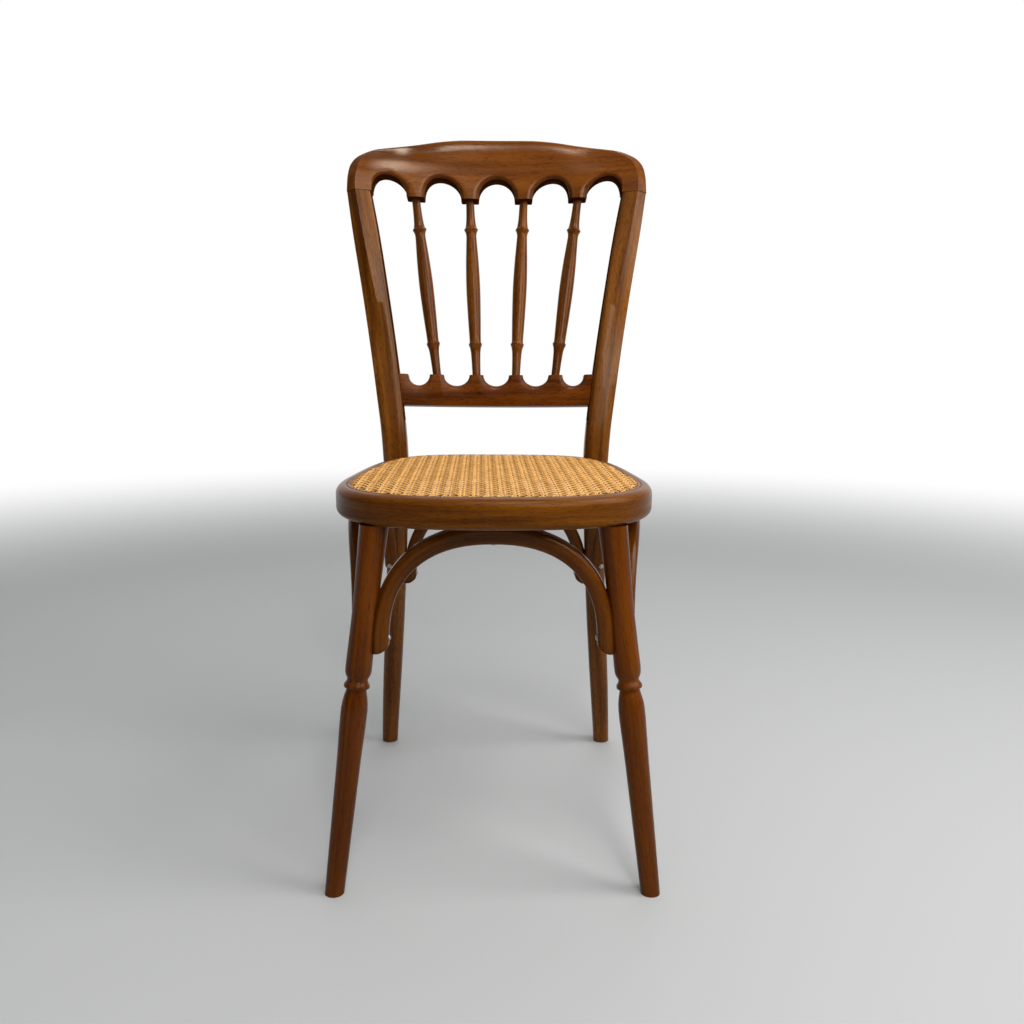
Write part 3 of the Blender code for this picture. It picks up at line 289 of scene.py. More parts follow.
def carry(shape, rule):
    """Move each point by a rule, which also says where the point lay in the straight stock, for the grain."""
    grain = shape.verts.layers.float_vector.new("grain")
    for vert in shape.verts:
        place, stock = rule(vert.co.copy())
        vert.co = place
        vert[grain] = stock
    return shape


def turned(profile, sides, closed=False):
    """Turn a profile of (radius, height) pairs round the Z axis; a closed one makes a ring."""
    shape = bmesh.new()
    line = [shape.verts.new((radius, 0.0, height)) for radius, height in profile]
    first = 0 if closed else 1
    edges = [shape.edges.new((line[index - 1], line[index])) for index in range(first, len(line))]
    bmesh.ops.spin(
        shape, geom=line + edges, cent=(0, 0, 0), axis=(0, 0, 1), dvec=(0, 0, 0), angle=math.tau, steps=sides,
        use_merge=True, use_normal_flip=False, use_duplicate=False,
    )
    return shape


def swept_round(section, height):
    """Spin a section once round, then spread the ring it makes to the cane's outline."""
    hub = 1.0
    shape = turned([(hub + point.x, point.y) for point in section], RING_STEPS, closed=True)
    edge, length = cane_edge(0.0, RING_STEPS)

    def rule(point):
        number = round(math.atan2(point.y, point.x) / math.tau * RING_STEPS) % RING_STEPS
        offset = math.hypot(point.x, point.y) - hub
        place, way = edge[number]
        spot = place + way * offset
        from_scarf = (number - RING_STEPS // 4) % RING_STEPS
        stock = Vector((offset, point.z, length * from_scarf / RING_STEPS))
        return Vector((spot.x, spot.y, height + point.z)), stock

    return carry(shape, rule)


def noise(tree, place, scale, detail, roughness=0.5, stretch=1.0, distortion=0.0):
    """Noise at a place, drawn out along the length of the stock where its stretch is less than 1."""
    if stretch < 1.0:
        place = put(tree, "Mapping", {"Vector": place, "Scale": (1, 1, stretch)}).outputs["Vector"]
    sockets = {"Vector": place, "Scale": scale, "Detail": detail, "Roughness": roughness}
    return put(tree, "TexNoise", {**sockets, "Distortion": distortion}).outputs["Fac"]


def ramp(tree, value, low, low_colour, high, high_colour):
    """Colour that runs from one to another between two values."""
    node = put(tree, "ValToRGB", {"Fac": value})
    for stop, position, colour in zip(node.color_ramp.elements, (low, high), (low_colour, high_colour)):
        stop.position = position
        stop.color = (*colour, 1)
    return node.outputs["Color"]


def blend(tree, share, first, second, kind="MULTIPLY"):
    """Blend a second colour into a first one."""
    sockets = {"Factor": share, "A": first, "B": second}
    return put(tree, "Mix", sockets, data_type="RGBA", blend_type=kind).outputs["Result"]


def stained_beech(name, light, deep, roughness, streak, flecking=0.95, sheen=0.24):
    """Brown stained beech: long streaks, short dark flecks and a satin lacquer with a little orange peel."""
    material, tree, shader = new_material(name)
    stock = put(tree, "Attribute", attribute_name="grain").outputs["Vector"]
    streaks = noise(tree, stock, streak, 7.0, 0.62, 0.045, distortion=0.5)
    flecks = noise(tree, stock, 1150.0, 2.0, 0.5, 0.10)
    clouds = noise(tree, stock, 16.0, 3.0, 0.55, 0.3)
    peel = noise(tree, stock, 420.0, 2.0)
    streaked = ramp(tree, streaks, 0.39, deep, 0.61, light)
    fleck_tone = ramp(tree, flecks, 0.33, (0.42, 0.36, 0.30), 0.47, (1, 1, 1))
    cloud_tone = ramp(tree, clouds, 0.30, (0.72, 0.68, 0.62), 0.70, (1.12, 1.10, 1.05))
    flecked = blend(tree, flecking, streaked, fleck_tone)
    rise = maths(tree, "MULTIPLY_ADD", flecks, 0.55, peel)
    bump = put(tree, "Bump", {"Strength": 0.22, "Distance": 0.00035, "Height": rise})
    feed(tree, shader, {
        "Base Color": blend(tree, 0.85, flecked, cloud_tone),
        "Roughness": remap(tree, clouds, 0.3, 0.7, roughness - 0.05, roughness + 0.07),
        "Normal": bump.outputs["Normal"],
        "Specular IOR Level": sheen,
        "Specular Tint": (1.0, 0.84, 0.66, 1.0),
    })
    return material


def finished(name, shape, coats, nodes, sharp, weld=1e-6):
    """Make a piece of the chair from a shape: smooth, riding on the chair, in place of its solids.

    Of several coats, each face takes the one that the shape has marked it with.
    """
    bmesh.ops.remove_doubles(shape, verts=shape.verts[:], dist=weld)
    bmesh.ops.recalc_face_normals(shape, faces=shape.faces[:])
    piece = make_object(name, shape)
    for coat in coats:
        piece.data.materials.append(coat)
    piece.data.shade_smooth()
    piece.data.set_sharp_from_angle(angle=math.radians(sharp))
    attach(piece, "root")
    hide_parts(*nodes)


ring_section = rounded((
    (-LEDGE_WIDTH, -REBATE, LEDGE_EDGE, 3),
    (-LEDGE_WIDTH, -RING_THICKNESS, LEDGE_ROUND, 5),
    (RIM_WIDTH, -RING_THICKNESS, RIM_BOTTOM_ROUND, 8),
    (RIM_WIDTH, 0.0, RIM_TOP_ROUND, 11),
    (0.0, 0.0, RIM_EDGE, 2),
    (0.0, -GROOVE_DEPTH, 0.0, 0),
    (-GROOVE_WIDTH, -GROOVE_DEPTH, 0.0, 0),
    (-GROOVE_WIDTH, -REBATE, 0.0, 0),
))
ring_beech = stained_beech(
    "ring_beech", (0.175, 0.054, 0.0012), (0.078, 0.020, 0.0005), 0.28, 75.0, flecking=0.85, sheen=0.14,
)
ring_shape = swept_round(ring_section, SEAT_HEIGHT)
finished("seat_ring_bent", ring_shape, [ring_beech], ("seat_ring",), 40.0)


# Binder: a reed of rattan with a rounded back, glued into the ring's groove over the cut ends of the cane.
# It stands a little proud of the rim.

BINDER_CROWN = 0.0004
BINDER_ROUND = 0.0014
reed_section = rounded((
    (FIT_GAP - GROOVE_WIDTH, FIT_GAP - GROOVE_DEPTH, 0.0, 0),
    (-FIT_GAP, FIT_GAP - GROOVE_DEPTH, 0.0, 0),
    (-FIT_GAP, BINDER_CROWN, BINDER_ROUND, 5),
    (FIT_GAP - GROOVE_WIDTH, BINDER_CROWN, BINDER_ROUND, 5),
))


def rattan(name, light, deep, shade_and_dirt=0.0, low=0.0, high=1.0):
    """Rattan skin: pale gold, long fibres and a dull shine; painted shade darkens its cut sides, which are
    also browner of their own, and the places where it lies low.
    """
    material, tree, shader = new_material(name)
    stock = put(tree, "Attribute", attribute_name="grain").outputs["Vector"]
    fibres = noise(tree, stock, 1500.0, 3.0, 0.6, 0.02)
    stains = noise(tree, stock, 70.0, 4.0, 0.65, 0.35)
    fibre_tone = ramp(tree, fibres, 0.30, (0.74, 0.68, 0.58), 0.58, (1, 1, 1))
    stained = ramp(tree, stains, 0.34, deep, 0.56, light)
    surface = put(tree, "NewGeometry")
    facing = put(tree, "SeparateXYZ", {"Vector": surface.outputs["Normal"]})
    # Faces that turn away from up get darker: the cut sides are browner of their own, and the rest of this
    # darkening is painted shade.
    upward_unshaded = remap(tree, facing.outputs["Z"], 0.30, 0.92, 1 - shade_and_dirt, 1.0, "SMOOTHSTEP")
    # Painted shade: the colour darkens where the surface lies low, under the strands that cross over it.
    places = put(tree, "TexCoord")
    spot = put(tree, "SeparateXYZ", {"Vector": places.outputs["Object"]})
    raised = remap(tree, spot.outputs["Z"], low, high, 1 - shade_and_dirt, 1.0)
    unshaded = maths(tree, "MULTIPLY", upward_unshaded, raised)
    # Dark colour of the painted shade and of the browner cut sides.
    shade_and_soil = (deep[0] * 0.16, deep[1] * 0.13, deep[2] * 0.10, 1.0)
    bump = put(tree, "Bump", {"Strength": 0.35, "Distance": 0.0002, "Height": fibres})
    feed(tree, shader, {
        "Base Color": blend(tree, unshaded, shade_and_soil, blend(tree, 1.0, stained, fibre_tone), "MIX"),
        "Roughness": remap(tree, stains, 0.3, 0.7, 0.52, 0.42),
        "Normal": bump.outputs["Normal"],
        "Specular IOR Level": 0.4,
    })
    return material


reed_skin = rattan("binder_reed", (0.22, 0.080, 0.014), (0.12, 0.036, 0.005))
reed_shape = swept_round(reed_section, SEAT_HEIGHT)
finished("binder_reed", reed_shape, [reed_skin], ("cane_binder",), 34.0)


# Cane: six-way weave of rattan strands. Pairs run from front to back and from side to side in a plain weave,
# and two sets of slanting strands cut the corners of each square, which leaves eight-sided holes.

WEAVE_PITCH = 0.0152
PAIRS_EACH_SIDE = 17
WEAVE_TURN = math.radians(1.3)
PAIR_SPREAD = 0.0041
STRAND_WIDTH = 0.0026
STRAND_THICKNESS = 0.0014
SLANT_WIDTH = 0.0025
WEAVE_RISE = 0.00070
SLANT_RISE = 0.0012
CANE_SINK = 0.0001
CANE_LEVEL = SEAT_HEIGHT - CANE_SINK
CANE_DIP = 0.0012
DIP_WIDTH = 0.0085
STRAND_TUCK = 0.0006
SHORTEST_STEP = 0.2
BOUND_POINTS = 480
# Depth below the cane's level where the weave's painted shade is darkest, and height above it where that
# painted shade ends.
SHADE_DEPTH = 0.0012
UNSHADED_HEIGHT = 0.0004
cane_bound = [point for point, way in cane_edge(STRAND_TUCK - GROOVE_WIDTH, BOUND_POINTS)[0]]
weave_centre = Vector((0.0, WIDEST_Y))
# The cane's skin gets painted shade where its strands dip low and on its side faces, whose brown is partly
# their own.
cane_skin = rattan(
    "cane_skin", (0.80, 0.42, 0.102), (0.54, 0.24, 0.046), shade_and_dirt=0.92, low=CANE_LEVEL - SHADE_DEPTH,
    high=CANE_LEVEL + UNSHADED_HEIGHT,
)


def across_bound(start, way):
    """Where a straight line enters and leaves the cane's outline, as distances along it."""
    side = Vector((-way.y, way.x))
    hits = []
    for index, second in enumerate(cane_bound):
        first = cane_bound[index - 1]
        before = (first - start).dot(side)
        after = (second - start).dot(side)
        if (before > 0) != (after > 0):
            hits.append((first.lerp(second, before / (before - after)) - start).dot(way))
    return (min(hits), max(hits)) if len(hits) >= 2 else (0.0, 0.0)


def inside_by(flat):
    """How far inside the cane's outline a point lies."""
    offset = flat - weave_centre
    across = offset.x / (1 - CANE_TAPER * offset.y / CANE_BACK_REACH)
    share = max(0.05, cane_share(across, offset.y))
    return offset.length * (1 / share - 1) - GROOVE_WIDTH


def lay_strand(strands, start, way, step, height):
    """Add a strand along a line, unless it is short, with points at each step, lifted by a height rule."""
    low, high = across_bound(start, way)
    if high - low < WEAVE_PITCH:
        return
    stops = [low]
    number = math.floor(low / step) + 1
    while number * step < high:
        if number * step - stops[-1] > step * SHORTEST_STEP:
            stops.append(number * step)
        number += 1
    stops.append(high)
    points = []
    for stop in stops:
        flat = start + way * stop
        near_edge = max(0.0, 1 - max(0.0, inside_by(flat)) / DIP_WIDTH)
        points.append((flat.x, flat.y, CANE_LEVEL + height(stop) - CANE_DIP * near_edge * near_edge))
    strands.append(points)


def weave_layer(name, strands, width, angle):
    """Make one set of strands: flat reeds with a rounded back along their paths."""
    half = width / 2
    thick = STRAND_THICKNESS
    profile = bpy.data.curves.new(name + "_section", "CURVE")
    outline = profile.splines.new("POLY")
    back = ((-half * 0.62, thick * 0.42), (0.0, thick * 0.56), (half * 0.62, thick * 0.42))
    corners = ((-half, 0.0), *back, (half, 0.0), (0.0, -thick * 0.40))
    outline.points.add(len(corners) - 1)
    for point, corner in zip(outline.points, corners):
        point.co = (*corner, 0.0, 1.0)
    outline.use_cyclic_u = True
    section_holder = bpy.data.objects.new(name + "_section", profile)
    path = bpy.data.curves.new(name, "CURVE")
    path.dimensions = "3D"
    path.twist_mode = "Z_UP"
    path.bevel_mode = "OBJECT"
    path.bevel_object = section_holder
    path.use_fill_caps = True
    for strand in strands:
        spline = path.splines.new("POLY")
        spline.points.add(len(strand) - 1)
        for point, place in zip(spline.points, strand):
            point.co = (*place, 1.0)
    path_holder = bpy.data.objects.new(name, path)
    bpy.context.scene.collection.objects.link(section_holder)
    bpy.context.scene.collection.objects.link(path_holder)
    woven = bpy.data.meshes.new_from_object(path_holder.evaluated_get(bpy.context.evaluated_depsgraph_get()))
    bpy.data.objects.remove(path_holder, do_unlink=True)
    bpy.data.objects.remove(section_holder, do_unlink=True)
    shape = bmesh.new()
    shape.from_mesh(woven)
    unturn = Matrix.Rotation(-angle, 2)
    carry(shape, lambda point: (point, Vector(((unturn @ point.xy).x, point.z, (unturn @ point.xy).y))))
    return shape


def straight_strands(upright_set):
    """Strands of the pairs: from front to back, or from side to side."""
    strands = []
    angle = WEAVE_TURN if upright_set else WEAVE_TURN - math.pi / 2
    way = Vector((-math.sin(angle), math.cos(angle)))
    side = Vector((way.y, -way.x)) if upright_set else Vector((-way.y, way.x))
    crossing = PAIR_SPREAD / WEAVE_PITCH / 2
    for number in range(-PAIRS_EACH_SIDE, PAIRS_EACH_SIDE + 1):
        for lay in (-1, 1):
            start = weave_centre + side * ((number + 0.5) * WEAVE_PITCH + lay * PAIR_SPREAD / 2)
            sign = lay if upright_set else -lay

            def height(stop, sign=sign):
                phase = stop / WEAVE_PITCH - 0.5
                phase -= round(phase)
                if abs(phase) <= crossing:
                    return -sign * WEAVE_RISE * phase / crossing
                return -sign * math.copysign(WEAVE_RISE, phase) * (0.5 - abs(phase)) / (0.5 - crossing)

            lay_strand(strands, start, way, WEAVE_PITCH / 8, height)
    return strands


def slanting_strands(lean):
    """Strands that cross the squares' corners, over one set of pairs and under the other."""
    strands = []
    angle = WEAVE_TURN - lean * math.pi / 4
    way = Vector((-math.sin(angle), math.cos(angle)))
    square_x = Vector((math.cos(WEAVE_TURN), math.sin(WEAVE_TURN)))
    reach = WEAVE_PITCH * math.sqrt(2)

    def height(stop):
        return lean * SLANT_RISE * math.cos(math.tau * stop / reach)

    for number in range(-2 * PAIRS_EACH_SIDE, 2 * PAIRS_EACH_SIDE + 1):
        lay_strand(strands, weave_centre + square_x * (number + 0.5) * WEAVE_PITCH, way, reach / 8, height)
    return strands


for layer_name, strands, width, angle in (
    ("cane_front_to_back", straight_strands(True), STRAND_WIDTH, WEAVE_TURN),
    ("cane_side_to_side", straight_strands(False), STRAND_WIDTH, WEAVE_TURN - math.pi / 2),
    ("cane_slant_left", slanting_strands(-1), SLANT_WIDTH, WEAVE_TURN + math.pi / 4),
    ("cane_slant_right", slanting_strands(1), SLANT_WIDTH, WEAVE_TURN - math.pi / 4),
):
    layer = weave_layer(layer_name, strands, width, angle)
    finished(layer_name, layer, [cane_skin], ("cane_panel",), 60.0, weld=1e-5)


# Rear posts: each is one bent piece of beech from the floor to the crest. It is round at the foot, oval below
# the ring and squarer above it, with a facet that grows towards the joint on its outer front corner.

RAKE = math.radians(11.5)
BACK_FOOT_Y = 0.8198 * RING_BACK_REACH + WIDEST_Y
BACK_JOINT = 0.3855
POST_TOP_Z = SEAT_HEIGHT + BACK_JOINT * math.cos(RAKE)
POST_BEND = 0.050
POST_FOOT_X = 0.8961 * RING_HALF_WIDTH
POST_FOOT_Y = 1.0193 * RING_BACK_REACH + WIDEST_Y
POST_UNDER_X = 0.7766 * RING_HALF_WIDTH
POST_UNDER_Y = 0.8365 * RING_BACK_REACH + WIDEST_Y
POST_SEAT_X = 0.7858 * RING_HALF_WIDTH
POST_TOP_X = 1.0770 * RING_HALF_WIDTH
POST_FOOT_SLOPE = -0.19
POST_UNDER_SLOPE = -0.02
POST_OVER_SPLAY = 0.12
POST_TOP_SPLAY = 0.175
POST_WIDTH = 0.0372
POST_DEPTH = 0.030
CREST_SAG = 0.025
CREST_HALF = 1.1722 * RING_HALF_WIDTH
CREST_SAG_REACH = 0.909 * CREST_HALF
POST_STATIONS = 110
POST_CORNER = 10
# height, width, depth, roundness, facet width and facet depth, each as a share
POST_TABLE = (
    (0.000, 0.645, 0.80, 1.00, 0.00, 0.00),
    (0.145, 0.755, 0.92, 1.00, 0.00, 0.00),
    (0.385, 0.800, 0.97, 0.96, 0.00, 0.00),
    (0.486, 0.880, 1.00, 0.85, 0.00, 0.00),
    (0.545, 0.960, 1.00, 0.66, 0.00, 0.00),
    (0.612, 0.973, 0.99, 0.55, 0.60, 0.05),
    (0.700, 0.975, 0.96, 0.42, 0.68, 0.18),
    (0.830, 0.992, 0.92, 0.30, 0.50, 0.36),
    (0.930, 1.000, 0.89, 0.26, 0.41, 0.42),
    (1.000, 0.930, 0.867, 0.24, 0.36, 0.46),
)


def hermite(share, start, start_slope, end, end_slope, span):
    """Smooth value between two ends whose slopes are known."""
    square = share * share
    cube = square * share
    return (
        (2 * cube - 3 * square + 1) * start + (cube - 2 * square + share) * start_slope * span
        + (3 * square - 2 * cube) * end + (cube - square) * end_slope * span
    )


def smooth_step(value, low, high):
    """Rise smoothly from 0 to 1 between two values."""
    share = min(1.0, max(0.0, (value - low) / (high - low)))
    return share * share * (3 - 2 * share)


def smooth_table(table, share, column):
    """Read a table whose rows start with a share along a smooth line through its rows."""
    last = len(table) - 1
    index = 0
    while index < last - 1 and share > table[index + 1][0]:
        index += 1
    slopes = []
    for spot in (index, index + 1):
        before = table[max(0, spot - 1)]
        after = table[min(last, spot + 1)]
        slopes.append((after[column] - before[column]) / (after[0] - before[0]))
    low = table[index]
    high = table[index + 1]
    span = high[0] - low[0]
    part = min(1.0, max(0.0, (share - low[0]) / span))
    return hermite(part, low[column], slopes[0], high[column], slopes[1], span)


def post_centre(z):
    """Centre line of the right rear post."""
    over_x = POST_SEAT_X + POST_BEND * POST_OVER_SPLAY / 2
    under_z = SEAT_HEIGHT - POST_BEND
    over_z = SEAT_HEIGHT + POST_BEND
    lean = math.tan(RAKE)
    over_y = BACK_FOOT_Y + POST_BEND * lean
    if z <= under_z:
        share = z / under_z
        x = hermite(share, POST_FOOT_X, -POST_OVER_SPLAY / 2, POST_UNDER_X, 0.0, under_z)
        y = hermite(share, POST_FOOT_Y, POST_FOOT_SLOPE, POST_UNDER_Y, POST_UNDER_SLOPE, under_z)
    elif z <= over_z:
        share = (z - under_z) / (over_z - under_z)
        x = hermite(share, POST_UNDER_X, 0.0, over_x, POST_OVER_SPLAY, over_z - under_z)
        y = hermite(share, POST_UNDER_Y, POST_UNDER_SLOPE, over_y, lean, over_z - under_z)
    else:
        span = POST_TOP_Z - over_z
        x = hermite((z - over_z) / span, over_x, POST_OVER_SPLAY, POST_TOP_X, POST_TOP_SPLAY, span)
        y = BACK_FOOT_Y + (z - SEAT_HEIGHT) * lean
    return Vector((x, y, z))


def post_section(share):
    """Section of the right post as (outwards, behind) pairs."""
    half_width = smooth_table(POST_TABLE, share, 1) * POST_WIDTH / 2
    half_depth = smooth_table(POST_TABLE, share, 2) * POST_DEPTH / 2
    roundness = min(1.0, smooth_table(POST_TABLE, share, 3))
    facet_width = max(0.0, smooth_table(POST_TABLE, share, 4)) * POST_WIDTH
    facet_depth = max(0.0, smooth_table(POST_TABLE, share, 5)) * POST_DEPTH
    facet = smooth_step(share, 0.60, 0.72)
    round_x = roundness * half_width
    round_y = roundness * half_depth
    points = []
    for corner, (outwards, behind) in enumerate(((1, 1), (-1, 1), (-1, -1), (1, -1))):
        for step in range(POST_CORNER):
            part = step / (POST_CORNER - 1)
            angle = math.pi / 2 * (corner + part)
            point = Vector((
                outwards * (half_width - round_x) + round_x * math.cos(angle),
                behind * (half_depth - round_y) + round_y * math.sin(angle),
            ))
            if corner == 3 and facet > 0:
                start = Vector((half_width - facet_width, -half_depth))
                end = Vector((half_width, facet_depth - half_depth))
                eased = min(1.0, max(0.0, (part - 0.12) / 0.76))
                point = point.lerp(start.lerp(end, eased), facet)
            points.append(point)
    return points


def straight_rod(sides, stations):
    """Straight rod of unit size with level ends, cut into stations along Z."""
    shape = bmesh.new()
    bmesh.ops.create_cone(
        shape, cap_ends=True, cap_tris=False, segments=sides, radius1=1.0, radius2=1.0, depth=1.0,
    )
    long_edges = [edge for edge in shape.edges if abs(edge.verts[0].co.z - edge.verts[1].co.z) > 0.5]
    bmesh.ops.subdivide_edges(shape, edges=long_edges, cuts=stations - 1, use_grid_fill=True)
    return shape


# How far round the rod's first side lies from +X, as a share of a side.
probe = straight_rod(8, 1)
PHASE = min(math.atan2(vert.co.y, vert.co.x) / math.tau * 8 % 1 for vert in probe.verts)
PHASE = 0.0 if PHASE < 0.01 or PHASE > 0.99 else PHASE
probe.free()


def bent_post(side):
    """Bend a straight rod into one rear post."""
    sides = 4 * POST_CORNER
    shape = straight_rod(sides, POST_STATIONS)
    top = POST_TOP_Z - FIT_GAP / 2 * math.cos(RAKE)

    def rule(point):
        z = top * (point.z + 0.5)
        centre = post_centre(z)
        tilt = RAKE * smooth_step(z, SEAT_HEIGHT - POST_BEND, SEAT_HEIGHT + POST_BEND)
        turn = smooth_step(z, SEAT_HEIGHT, POST_TOP_Z) * -2 * CREST_SAG * POST_TOP_X / CREST_SAG_REACH ** 2
        number = round(math.atan2(point.y, point.x) / math.tau * sides - PHASE) % sides
        out, behind = post_section(z / POST_TOP_Z)[number]
        back = behind + turn * out
        place = centre + Vector((out, back * math.cos(tilt), -back * math.sin(tilt)))
        return Vector((side * place.x, place.y, place.z)), Vector((out + side, behind, z))

    return carry(shape, rule)


post_beech = stained_beech("post_beech", (0.205, 0.066, 0.0050), (0.090, 0.025, 0.0014), 0.25, 80.0)
# Painted shade: a much darker copy of the beech, without shine, for inner walls that stand in shade.
shaded_inner_beech = stained_beech(
    "shaded_inner_beech", (0.070, 0.020, 0.0016), (0.040, 0.010, 0.0008), 0.55, 80.0, sheen=0.0,
)
for word, side in (("left", -1), ("right", 1)):
    post = bent_post(side)
    # The posts' inner sides above the seat take the darker copy, as painted shade.
    for face in post.faces:
        face.normal_update()
        middle = face.calc_center_median()
        inward = abs(middle.x) < post_centre(middle.z).x
        if inward and abs(face.normal.x) > 0.80 and middle.z > SEAT_HEIGHT + POST_BEND:
            face.material_index = 1
    coats = [post_beech, shaded_inner_beech]
    finished("rear_post_bent_" + word, post, coats, ("rear_post_" + word,), 28.0)


# Crest rail: sawn from one board, bent round the sitter's back, with an ogee top, five arches and four short
# pendants that take the spindles. The posts' facets run up round its shoulders and fade along its top edge.

CREST_RISE = 0.0844
CREST_THICKNESS = 0.026
PENDANT_DROP = 0.0048
PENDANT_STRAIGHT = 0.0040
PENDANT_FOOT = BACK_JOINT - PENDANT_DROP
SPINDLE_TOP_PITCH = 0.3645 * CREST_HALF
PENDANT = 0.3325 * SPINDLE_TOP_PITCH
ARCH_STEPS = 26
ARCH_SCOOP = 0.0060
PENDANT_CORNER = 0.0026
CREST_EDGE = 0.0036
CREST_SOFT = 0.0045
CREST_SOFT_DROP = 0.020
CREST_PROUD = 0.0022
CREST_HOLLOW = 0.0024
CREST_ROW = 0.0045
CREST_STATIONS = 44
CREST_BACK_EDGE = 0.0016
CREST_TOP_FROM = 0.036
TOP_MARGIN = 0.0005
HOLLOW_LOW = -0.002
HOLLOW_HIGH = 0.026
SHADED_COAT_FROM = 0.010
CREST_TOP_POINTS = 60
CREST_STOCK_SHIFT = 0.3
POST_INNER = POST_TOP_X - POST_WIDTH / 2
# x as a share of the half width, height as a share of the rise
CREST_TOP = (
    (0.000, 1.000), (0.136, 0.998), (0.254, 0.990), (0.389, 0.950), (0.524, 0.885), (0.658, 0.815),
    (0.757, 0.765), (0.806, 0.736), (0.853, 0.696), (0.893, 0.648), (0.925, 0.602), (0.950, 0.550),
    (0.971, 0.482), (0.986, 0.392), (0.996, 0.225), (1.000, 0.000),
)
# share of the half width, degrees the facet leans up, and share of its full width
SHOULDER_FACETS = (
    (1.0, 0, 1.0), (0.9775, 12, 0.93), (0.962, 22, 0.84), (0.944, 32, 0.73), (0.922, 42, 0.60),
    (0.897, 51, 0.48), (0.868, 59, 0.37), (0.838, 65, 0.28),
)


def on_back(x, height, behind):
    """World place of a point on the raked back plane."""
    return Vector((
        x, BACK_FOOT_Y + height * math.sin(RAKE) + behind * math.cos(RAKE),
        SEAT_HEIGHT + height * math.cos(RAKE) - behind * math.sin(RAKE),
    ))


def sag_at(x, sag, reach):
    """How far a bent rail stands behind its own ends."""
    return sag * (1 - (x / reach) ** 2)


def board(outline, thickness):
    """Saw a board to an outline drawn in X and Y, centred on its own plane."""
    shape = bmesh.new()
    corners = [shape.verts.new((x, y, -thickness / 2)) for x, y in outline]
    edges = [shape.edges.new((corners[index - 1], corner)) for index, corner in enumerate(corners)]
    face = bmesh.ops.contextual_create(shape, geom=edges)["faces"]
    raised = bmesh.ops.extrude_face_region(shape, geom=face)["geom"]
    verts = [item for item in raised if isinstance(item, bmesh.types.BMVert)]
    bmesh.ops.translate(shape, verts=verts, vec=(0, 0, thickness))
    bmesh.ops.recalc_face_normals(shape, faces=shape.faces[:])
    return shape


def outline_edges(shape, depth, accept):
    """Edges of a board's outline on the face at a depth."""
    return [
        edge for edge in shape.edges
        if all(abs(vert.co.z - depth) < 1e-7 for vert in edge.verts) and edge.calc_face_angle(0.0) > 1.0
        and accept((edge.verts[0].co + edge.verts[1].co) / 2)
    ]


def soften(shape, edges, offset, segments):
    """Round edges over."""
    bmesh.ops.bevel(
        shape, geom=edges, offset=offset, segments=segments, profile=0.5, affect="EDGES", clamp_overlap=False,
        material=-1, loop_slide=True,
    )


def slice_off(shape, place, normal):
    """Cut a closed shape with a plane, drop the side the normal points to, and close it."""
    result = bmesh.ops.bisect_plane(
        shape, geom=shape.verts[:] + shape.edges[:] + shape.faces[:], dist=1e-7, plane_co=place,
        plane_no=normal, clear_outer=True, clear_inner=False,
    )
    edges = [item for item in result["geom_cut"] if isinstance(item, bmesh.types.BMEdge)]
    if edges:
        bmesh.ops.contextual_create(shape, geom=edges)


def cut_across(shape, faces, place, normal):
    """Cut some faces of a shape along a plane."""
    verts = {vert for face in faces for vert in face.verts}
    edges = {edge for face in faces for edge in face.edges}
    bmesh.ops.bisect_plane(
        shape, geom=list(verts) + list(edges) + list(faces), dist=1e-6, plane_co=place, plane_no=normal,
    )


def cut_stations(shape, reach, count):
    """Cut a rail across at even stations, so that it can be bent."""
    for number in range(1 - count, count):
        cut_across(shape, shape.faces[:], (reach * number / count, 0, 0), (1, 0, 0))


def bend_to_back(shape, sag, reach, shift):
    """Carry a flat rail to the raked plane and bend it round the sitter."""

    def rule(point):
        place = on_back(point.x, point.y, point.z + sag_at(point.x, sag, reach))
        return place, Vector((point.y + shift, point.z, point.x))

    return carry(shape, rule)


def arc(centre, height, half_width, rise, start, end, skew=0.0):
    """Points of a half ellipse between two angles, whose top may be pushed to one side."""
    points = []
    for step in range(ARCH_STEPS + 1):
        angle = start + (end - start) * step / ARCH_STEPS
        up = math.sin(angle)
        points.append((centre + half_width * (math.cos(angle) + skew * up * up), height + rise * up))
    return points


def arch_skew(centre):
    """How far an arch's top lies outwards of its middle, as a share of its half width."""
    return math.copysign(min(0.22, 0.14 * (abs(centre) / SPINDLE_TOP_PITCH) ** 0.7), centre)


def five_bays(pitch, tooth, end):
    """Centre and half width of a rail's five openings between its teeth, from the right to the left."""
    half = (pitch - tooth) / 2
    outer = (end - pitch * 1.5 - tooth / 2) / 2
    return [(end - outer, outer)] + [(number * pitch, half) for number in (1, 0, -1)] + [(outer - end, outer)]


ARCHES = five_bays(SPINDLE_TOP_PITCH, PENDANT, POST_INNER)
ARCH_SPRING = PENDANT_FOOT + PENDANT_STRAIGHT
ARCH_RISE = (SPINDLE_TOP_PITCH - PENDANT) / 2
CREST_FOOT = BACK_JOINT + FIT_GAP / 2


def crest_top(x):
    """Height of the crest's top edge."""
    return CREST_FOOT + CREST_RISE * max(0.0, smooth_table(CREST_TOP, min(1.0, abs(x) / CREST_HALF), 1))


